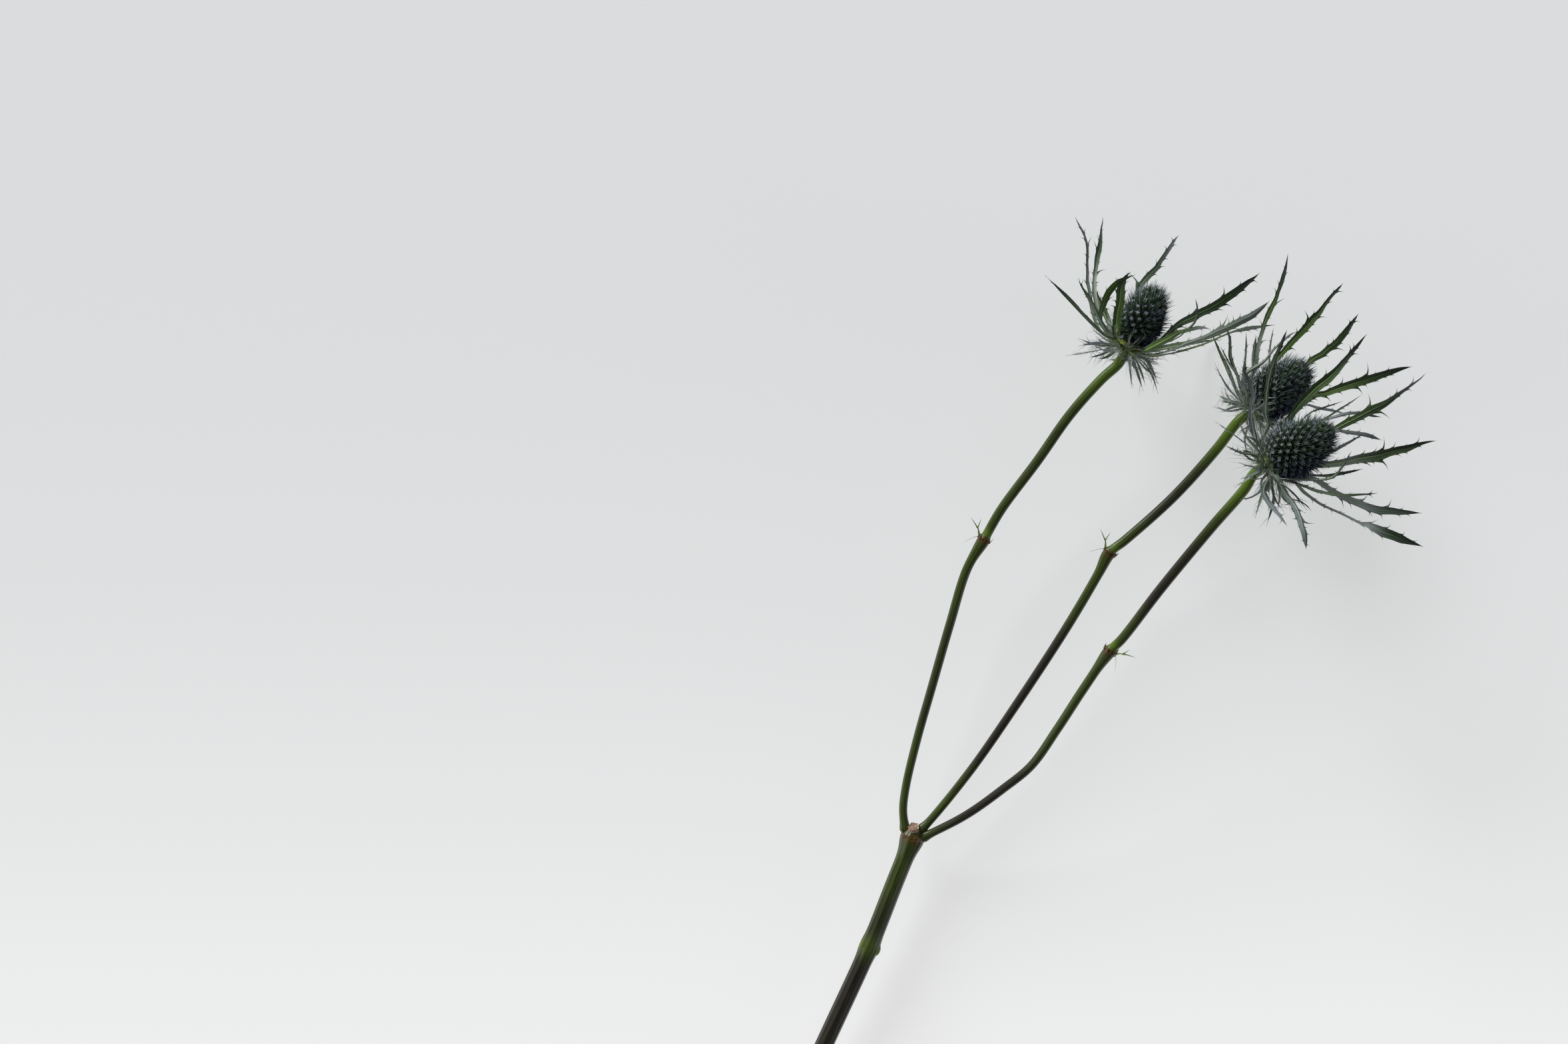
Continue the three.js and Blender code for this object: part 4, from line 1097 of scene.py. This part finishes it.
FLORET_VALUES = ("tone", "tint", "pale")
FLORET_AREA = 6.7             # of the cone's outer skin for each floret
FLORET_HEAD = 3.2             # from the core's skin to the knob of pale petals
FLORET_SPIKE = 5.6            # its spines are from half as long as this to a little longer
CORE_DEPTH = 5.0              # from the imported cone's skin to the core's
CORE_WIDEST = 0.42            # shares of the core's length
CORE_FOOT = 0.12
CORE_START = 0.04
FAN_CENTRE = 0.25             # florets stand out from this point of the core's axis
LOWEST_AIM = -0.12            # and this is how far down they may lean
CORE_SIDES = 40
TEMPLATES = 5                 # different florets
PETALS_A_FLORET = 5
SPINES_A_FLORET = 11
# A floret's green body as (radius, height, tone), up to the knob in the middle of its petals.
FLORET_BODY = [
    (0.45, -0.6, 0.0), (0.7, 0.7, 0.05), (0.76, 1.7, 0.15), (0.6, 2.45, 0.3), (0.34, 2.7, 0.1),
    (0.26, 2.95, 0.8), (0.08, 3.1, 0.9),
]
BODY_SIDES = 8
PETAL_SHARES = np.array([0, 0.35, 0.7, 1.0])
PETAL_WIDTHS = np.array([0.14, 0.24, 0.2, 0.05])
PETAL_SECTION = np.array([(1, 0.06), (0, 0.12), (-1, 0.06), (0, -0.1)])
PETAL_FOOT = (0.36, 2.6)      # its distance from the floret's middle, and its height
STAR_TONE = 0.79              # the tones of petals and knobs are above this, and most of the spines' below
# The petals and knobs of each head are dimmed by draws in these ranges.
STAR_SHINE = {"left": (0.2, 0.85), "middle": (0.4, 0.95), "right": (0.7, 1.03)}
# Painted light and shade: florets that face this way are painted greener, with silvery spines, and those
# that face away navy, with slate spines.
PAINTED_LIGHT_SIDE = np.array([-0.6, 0.77, 0.2])  # florets are greener, with paler spines, on this side


def core_profile(share):
    """The core's radius at shares of its length, as a share of its largest one."""
    below = (CORE_WIDEST - share) / (CORE_WIDEST + CORE_FOOT)
    above = (share - CORE_WIDEST) / (1 - CORE_WIDEST)
    return np.sqrt(np.maximum(1 - np.where(share < CORE_WIDEST, below, above) ** 2, 0))


def floret_stand(radius, length, foot, share):
    """The seat on the core's skin and the way out of it, each as distance from the axis and height."""
    seat = np.stack([radius * core_profile(share), foot + length * share], axis=-1)
    aim = seat - np.array([0, foot + length * FAN_CENTRE])
    aim[..., 1] = np.maximum(aim[..., 1], LOWEST_AIM * np.linalg.norm(aim, axis=-1))
    return seat, unit(aim)


def floret_shares(radius, length, foot):
    """Places along the core that spread the florets' heads evenly over the cone."""
    samples = np.linspace(CORE_START, 1, 400)
    seats, aims = floret_stand(radius, length, foot, samples)
    crowns = seats + FLORET_HEAD * aims
    steps = np.linalg.norm(np.diff(crowns, axis=0), axis=1)
    areas = np.concatenate([[0], np.cumsum(math.pi * (crowns[1:, 0] + crowns[:-1, 0]) * steps)])
    count = round(areas[-1] / FLORET_AREA)
    return np.interp((np.arange(count) + 0.5) / count * areas[-1], areas, samples)


def floret_template(seed):
    """One floret along +Z: a green body, five short pale petals round a knob, and long curved spines."""
    skin = Skin(FLORET_VALUES)
    body = np.array(FLORET_BODY)
    skin.tube(lathe(body[:, :2], BODY_SIDES), tone=body[:, 2:])
    for i in range(PETALS_A_FLORET):
        turn = 360 * (i + 0.3 * draw(i, seed)) / PETALS_A_FLORET
        petal(skin, turn, pick(25, 60, i, seed + 1), pick(0.5, 0.75, i, seed + 2))
    numbers = np.arange(SPINES_A_FLORET)
    turn = 360 * (numbers + 0.6 * draw(numbers, seed + 3)) / SPINES_A_FLORET
    aims = UP + polar(turn, 90) * pick(0.0, 0.42, numbers, seed + 4)[:, None]
    reach = draw(numbers, seed + 5)
    tips = between(0.36, 0.85, draw(numbers, seed + 6) ** 2)
    bends = polar(turn, 90) * pick(-0.9, 0.5, numbers, seed + 7)[:, None]
    needles(skin, polar(turn, 90, 0.66) + UP * 0.6, aims, between(0.5, 1.18, reach) * FLORET_SPIKE,
            between(0.23, 0.15, reach), bends, tone=np.stack([0 * tips, tips], axis=-1))
    return np.vstack(skin.points), skin.faces, np.concatenate(skin.values["tone"])


def petal(skin, turn, lean, length):
    """A short pale petal, hollow on its inner side."""
    out, across = polar(turn, 90), polar(turn + 90, 90)
    aim = polar(turn, lean)
    rise = (length * PETAL_SHARES)[:, None] * aim + (0.2 * PETAL_SHARES ** 2)[:, None] * UP
    middle = out * PETAL_FOOT[0] + UP * PETAL_FOOT[1] + rise
    thick = 1.1 - 0.6 * PETAL_SHARES
    rings = leaf_rings(middle, PETAL_SECTION, across, PETAL_WIDTHS, np.cross(aim, across), thick)
    skin.tube(rings[:, ::-1], tone=between(0.85, 1.0, PETAL_SHARES)[:, None])


def cone_object(head, number, material):
    """The egg-shaped core and its florets, each a golden turn on from the one below it."""
    skin = Skin(FLORET_VALUES)
    length, radius = head["length"] - CORE_DEPTH, head["radius"] - CORE_DEPTH
    foot = COLLAR["above"] + GAP
    shares = np.linspace(0, 1, 26)
    core = np.stack([np.maximum(radius * core_profile(shares), 0.05), foot + length * shares], axis=-1)
    skin.tube(lathe(core, CORE_SIDES), tint=0.3)

    templates = [floret_template(number * 40 + i * 9) for i in range(TEMPLATES)]
    for i, share in enumerate(floret_shares(radius, length, foot)):
        add_floret(skin, head, templates[i % TEMPLATES], i, number, share,
                   *floret_stand(radius, length, foot, share))

    def place(points):
        return plant_to_world(head_to_plant(head, points))

    return skin.make(f"florets_{head['name']}", material, f"cone_{head['name']}", place)


def add_floret(skin, head, template, i, number, share, seat, aim):
    """A turned copy of a template on its seat. Florets get smaller towards the cone's top."""
    points, faces, tone = template
    out, aside = polar(i * GOLDEN_TURN, 90), polar(i * GOLDEN_TURN + 90, 90)
    seat, aim = (out * across + UP * height for across, height in (seat, aim))
    aim = unit(aim + 0.06 * (draw(i, number + 60) - 0.5) * aside)
    x = unit(np.cross(aside, aim))
    x, y = turned(x, np.cross(aim, x), 2 * np.pi * draw(i, number + 61))
    size = pick(0.92, 1.0, i, number + 62) * (1 - 0.2 * smooth((share - 0.75) * 4))
    # Tint and pale rise on florets that face the painted light's side: painted light on them and painted
    # shade on the rest, with some random tone on top.
    painted_light_facing = float(head_axes(head) @ aim @ PAINTED_LIGHT_SIDE)
    tint = 0.5 + 0.5 * painted_light_facing + 0.4 * (draw(i, number + 63) - 0.5)
    pale = 0.3 + 0.7 * painted_light_facing + 0.3 * (draw(i, number + 64) - 0.5)
    shine = pick(*STAR_SHINE[head["name"]], i, number + 65)
    tone = np.where(tone > STAR_TONE, shine, 1) * tone
    skin.add(seat + size * (points @ np.stack([x, y, aim])), faces, tone=tone, tint=tint, pale=pale)


# ---- Materials ----

def linear(red, green, blue):
    """A colour given as it looks on a screen, 0 to 255, as the shader's own numbers."""
    return tuple((v / 255 / 12.92 if v <= 10 else ((v / 255 + 0.055) / 1.055) ** 2.4)
                 for v in (red, green, blue)) + (1.0,)


class Shader:
    """Short names for the nodes of one material. Colours of three numbers are as a screen shows them."""

    def __init__(self, name):
        self.material = bpy.data.materials.new(name)
        self.material.use_nodes = True
        self.nodes = self.material.node_tree.nodes
        self.links = self.material.node_tree.links
        self.surface = self.nodes["Principled BSDF"]

    def put(self, socket, value):
        """Links a node's output to a socket, or sets the socket to a plain number or colour."""
        if isinstance(value, bpy.types.NodeSocket):
            self.links.new(value, socket)
        else:
            is_screen_colour = isinstance(value, tuple) and len(value) == 3
            socket.default_value = linear(*value) if is_screen_colour else value

    def finish(self, **values):
        """Puts values on the surface's sockets. An underscore stands for a space in a socket's name."""
        for name, value in values.items():
            self.put(self.surface.inputs[name.replace("_", " ")], value)
        return self.material

    def value(self, name):
        node = self.nodes.new("ShaderNodeAttribute")
        node.attribute_name = name
        return node.outputs["Fac"]

    def math(self, operation, a, b=0.0):
        node = self.nodes.new("ShaderNodeMath")
        node.operation = operation
        self.put(node.inputs[0], a)
        self.put(node.inputs[1], b)
        return node.outputs[0]

    def times(self, a, b):
        return self.math("MULTIPLY", a, b)

    def less(self, a, b):
        return self.math("SUBTRACT", a, b)

    def capped(self, a):
        return self.math("MINIMUM", a, 1.0)

    def ramp(self, value, low, high, out_low=0.0, out_high=1.0):
        """A smooth rise or fall from out_low to out_high as the value goes from low to high."""
        node = self.nodes.new("ShaderNodeMapRange")
        node.interpolation_type = "SMOOTHSTEP"
        for socket, given in zip(node.inputs, (value, low, high, out_low, out_high)):
            self.put(socket, given)
        return node.outputs[0]

    def mix(self, share, a, b):
        node = self.nodes.new("ShaderNodeMix")
        node.data_type = "RGBA"
        self.put(node.inputs["Factor"], share)
        self.put(node.inputs[6], a)
        self.put(node.inputs[7], b)
        return node.outputs[2]

    def blend(self, value, low, high, a, b):
        """From one colour to another as the value goes from low to high."""
        return self.mix(self.ramp(value, low, high), a, b)

    def place(self):
        return self.nodes.new("ShaderNodeTexCoord").outputs["Object"]

    def noise(self, vector, scale, detail, roughness):
        node = self.nodes.new("ShaderNodeTexNoise")
        self.put(node.inputs["Vector"], vector)
        node.inputs["Scale"].default_value = scale
        node.inputs["Detail"].default_value = detail
        node.inputs["Roughness"].default_value = roughness
        return node.outputs["Fac"]

    def grain(self, scale, detail=3.0, roughness=0.55):
        """Noise in space: scale is its waves in a metre."""
        return self.noise(self.place(), scale, detail, roughness)

    def streaks(self, *values, scale=1.0, detail=3.0):
        """Noise over up to three values, each given with its own scale."""
        node = self.nodes.new("ShaderNodeCombineXYZ")
        for socket, (value, stretch) in zip(node.inputs, values):
            self.put(socket, self.times(value, stretch))
        return self.noise(node.outputs[0], scale, detail, 0.55)

    def bump(self, height, strength, distance=0.0002):
        node = self.nodes.new("ShaderNodeBump")
        node.inputs["Strength"].default_value = strength
        node.inputs["Distance"].default_value = distance
        self.put(node.inputs["Height"], height)
        return node.outputs["Normal"]


def stem_material():
    """Green ribbed skin with purple-brown stretches, brown scars, yellow-green joints and pithy cuts, and
    rib crests painted lighter, partly their own paler colour and partly a painted highlight.
    """
    s = Shader("stem_skin")
    around, crest, pale = s.value("around"), s.value("crest"), s.value("pale")
    fibres = s.streaks((around, 9.0), (s.value("along"), 0.12), detail=5.0)
    blotches = s.grain(160.0, 4.0)

    green = s.blend(fibres, 0.3, 0.75, (35, 46, 3), (62, 78, 8))
    # The rib crests are painted lighter here and on the dark stretches below: partly the ribs' own paler
    # colour, partly a painted highlight along them.
    green = s.mix(s.ramp(crest, 0.88, 1.0, 0.0, 0.35), green, (104, 122, 50))
    dark = s.blend(fibres, 0.3, 0.7, (21, 18, 13), (41, 34, 26))
    dark = s.mix(s.ramp(crest, 0.88, 1.0, 0.0, 0.3), dark, (80, 76, 56))
    purple = s.math("ADD", s.value("purple"), s.times(s.less(blotches, 0.5), 0.6))
    skin = s.mix(s.ramp(purple, 0.0, 1.0, 0.0, 0.95), green, dark)
    skin = s.mix(s.times(pale, 0.75), skin, (96, 126, 26))
    scar = s.times(s.value("brown"), s.ramp(s.grain(900.0, 4.0), 0.3, 0.6, 0.35, 1.0))
    rust = s.blend(s.grain(1400.0), 0.35, 0.65, (46, 28, 10), (108, 72, 24))
    skin = s.mix(s.capped(scar), skin, rust)

    torn = s.blend(s.grain(1500.0, 5.0, 0.7), 0.35, 0.68, (138, 108, 88), (186, 158, 138))
    fresh = s.blend(s.grain(2600.0), 0.35, 0.65, (186, 192, 146), (216, 220, 186))
    bundles = s.ramp(s.streaks((around, 14.0), (crest, 9.0), detail=2.0), 0.4, 0.62)
    fresh = s.mix(s.times(s.ramp(crest, 0.5, 0.7), bundles), fresh, (112, 128, 62))
    fresh = s.blend(crest, 0.88, 0.98, fresh, (74, 92, 34))
    skin = s.mix(s.value("cut"), skin, s.mix(s.capped(pale), torn, fresh))
    relief = s.math("ADD", fibres, s.times(blotches, 0.5))
    return s.finish(
        Base_Color=skin, Roughness=s.ramp(fibres, 0.25, 0.75, 0.34, 0.52), Specular_IOR_Level=0.22,
        Coat_Weight=0.3, Coat_Roughness=0.16, Normal=s.bump(relief, 0.2))


def bract_skin(s, streaks, share, silver, upper):
    """The blade's own colours: green, and silvery where silver says so, with a yellow-green foot."""
    deep = s.blend(streaks, 0.3, 0.7, (17, 38, 9), (38, 67, 18))
    lively = s.blend(streaks, 0.3, 0.7, (60, 94, 16), (102, 138, 38))
    green = s.mix(s.capped(s.value("bright")), deep, lively)
    shade = s.blend(streaks, 0.3, 0.72, (66, 80, 62), (100, 112, 94))
    glow = s.blend(streaks, 0.3, 0.72, (120, 132, 118), (166, 176, 162))
    grey = s.blend(silver, 0.4, 1.4, shade, glow)
    steel = s.blend(streaks, 0.3, 0.7, (90, 98, 124), (150, 156, 178))
    # Silver above 1 turns the steel near white: partly the silver's own colour, partly a painted highlight
    # on the bristles and painted light on shaded blade roots.
    steel = s.blend(silver, 1.0, 1.5, steel, (214, 216, 228))
    grey = s.mix(s.times(s.value("blue"), 0.8), grey, steel)
    least = s.times(s.less(1.0, upper), 0.25)
    colour = s.mix(s.capped(s.math("MAXIMUM", silver, least)), green, grey)
    return s.mix(s.ramp(share, 0.26, 0.06, 0.0, 0.9), colour, (140, 152, 26))


def bract_veins(s, across, share):
    """Where the midrib and the two side veins are. They fade towards the tip."""
    width = s.math("ABSOLUTE", across)
    middle_vein = s.ramp(s.math("DIVIDE", width, s.ramp(share, 0.3, 0.8, 0.26, 0.1)), 1.0, 0.3)
    from_side_vein = s.math("ABSOLUTE", s.less(width, s.ramp(share, 0.0, 0.6, 0.3, 0.6)))
    side_vein = s.times(s.ramp(from_side_vein, 0.06, 0.0), 0.4)
    return s.times(s.math("MAXIMUM", middle_vein, side_vein), s.ramp(share, 0.97, 0.6, 0.1, 0.8))


def bract_material():
    """Green to silvery blades with pale veins and margins, a yellow-green foot and near-black tips, and
    painted shade on one half of each blade and painted light on the other.
    """
    s = Shader("bract_blades")
    across, share, tint, silver = (s.value(name) for name in ("across", "share", "tint", "silver"))
    upper = s.ramp(s.value("side"), -0.2, 0.3)
    streaks = s.streaks((across, 5.0), (share, 3.0), (tint, 40.0), scale=1.6, detail=4.0)
    colour = bract_skin(s, streaks, share, silver, upper)

    # Painted shade and light: by its tint, one half of each blade is painted darker and the other lighter,
    # as the two folded halves would catch the light.
    lean = s.times(s.less(s.ramp(across, -0.15, 0.15), 0.5), s.less(tint, 0.5))
    colour = s.mix(s.ramp(lean, 0.0, 0.25, 0.0, 0.6), colour, (24, 36, 22))
    colour = s.mix(s.ramp(lean, 0.0, -0.25, 0.0, 0.32), colour, (120, 146, 90))
    veins = bract_veins(s, across, share)
    colour = s.mix(veins, colour, s.mix(upper, (178, 186, 170), (158, 182, 118)))
    margin = s.ramp(s.math("ABSOLUTE", across), 0.86, 1.0)
    colour = s.mix(s.times(margin, s.ramp(share, 0.95, 0.7, 0.1, 0.5)), colour, (128, 140, 106))
    dusk = s.mix(s.times(silver, 0.7), (20, 27, 22), (112, 118, 118))
    colour = s.mix(s.times(s.ramp(share, 0.68, 0.97), 0.85), colour, dusk)
    colour = s.mix(s.ramp(s.grain(420.0), 0.45, 0.75, 0.0, 0.12), colour, (44, 54, 42))
    relief = s.math("ADD", streaks, s.times(veins, 0.8))
    return s.finish(
        Base_Color=colour, Roughness=s.ramp(upper, 0.0, 1.0, 0.6, 0.4), Specular_IOR_Level=0.17,
        Normal=s.bump(relief, 0.4))


def floret_material():
    """Green to navy bodies, pale grey-green petals, and slate spines that are silvery on one side; the
    greener, silvery side is painted light and the navy side painted shade, over the florets' own colours.
    """
    s = Shader("floret_spikes")
    tone, tint = s.value("tone"), s.value("tint")
    speckle = s.grain(1800.0)
    # tint and pale carry painted light and shade: they are high on florets that face the painted light and
    # low on those that face away.
    dark = s.blend(tint, 0.1, 0.9, (26, 31, 37), (56, 80, 46))
    slate = s.blend(tint, 0.1, 0.9, (74, 79, 112), (94, 112, 98))
    silver = s.blend(speckle, 0.3, 0.7, (164, 172, 192), (214, 219, 233))
    spine = s.blend(s.value("pale"), 0.2, 0.9, slate, silver)
    star = s.blend(tint, 0.1, 0.9, (116, 126, 136), (152, 164, 151))
    colour = s.blend(tone, 0.2, 0.6, dark, spine)
    colour = s.blend(tone, 0.6, 0.82, colour, star)
    return s.finish(
        Base_Color=colour, Roughness=0.5, Specular_IOR_Level=0.25, Normal=s.bump(speckle, 0.3, 0.00015))


# ---- Stage ----

FLOOR_HALF = 40.0                   # in metres, so that it ends near the horizon in low views
FLOOR_GLOW_REACH = (0.3, -0.35)     # the floor glows more from here to here, towards the cut end
FLOOR_GLOW = (0.479, 0.7)
FLOOR_GLOW_COLOURS = ((0.97, 0.98, 0.98, 1.0), (0.99, 0.98, 0.96, 1.0))
ROOM = {"colour": (0.93, 0.96, 1.0, 1.0), "strength": 0.2}
# Even lights from far away: the way towards each, its width in degrees, its power and its colour.
LIGHTS = {
    "window": ((-2.26, 3.26, 1.46), 30, 3.0, (0.96, 0.97, 1.0)),
    "left_side": ((-2.06, -0.14, 0.56), 27, 0.41, (1.0, 0.99, 0.97)),
    "right_side": ((1.84, -0.54, 0.56), 27, 0.3, (0.97, 0.98, 1.0)),
}


def floor():
    """A wide pale floor with a soft glow of its own, slightly stronger at the picture's foot."""
    corners = [(FLOOR_HALF * x, FLOOR_HALF * y, 0) for x, y in ((-1, -1), (1, -1), (1, 1), (-1, 1))]
    mesh = bpy.data.meshes.new("floor")
    mesh.from_pydata(corners, [], [(0, 1, 2, 3)])
    s = Shader("floor_paper")
    place = s.nodes.new("ShaderNodeSeparateXYZ")
    s.put(place.inputs[0], s.place())
    near = s.ramp(place.outputs["Y"], *FLOOR_GLOW_REACH)
    mesh.materials.append(s.finish(
        Base_Color=(172, 173, 173), Roughness=0.9, Emission_Color=s.mix(near, *FLOOR_GLOW_COLOURS),
        Emission_Strength=s.ramp(near, 0.0, 1.0, *FLOOR_GLOW)))
    piece = linked("floor", mesh)


def soft_light(name, towards, width, power, colour):
    data = bpy.data.lights.new(name, "SUN")
    data.angle, data.energy, data.color = math.radians(width), power, colour
    lamp = linked(name, data)
    lamp.location = towards
    lamp.rotation_euler = Vector(towards).to_track_quat("Z", "Y").to_euler()


def stage():
    floor()
    scene = bpy.context.scene
    scene.world = bpy.data.worlds.new("room")
    scene.world.use_nodes = True
    background = scene.world.node_tree.nodes["Background"]
    background.inputs["Color"].default_value = ROOM["colour"]
    background.inputs["Strength"].default_value = ROOM["strength"]
    for name, light in LIGHTS.items():
        soft_light(name, *light)

    data = bpy.data.cameras.new("camera")
    data.lens, data.sensor_width = LENS, SENSOR
    camera = linked("camera", data)
    x, y, _ = plant_to_world(np.array([*CAMERA_FROM_FORK, 0.0]))
    camera.location = (x, y, CAMERA_HEIGHT / 1000)
    scene.camera = camera
    scene.view_settings.view_transform = "Standard"


# ---- The plant ----

stage()
stem_object(stem_material())
bract_look, floret_look = bract_material(), floret_material()
for number, head in enumerate(HEADS):
    ruff_object(head, number, bract_look)
    cone_object(head, number, floret_look)
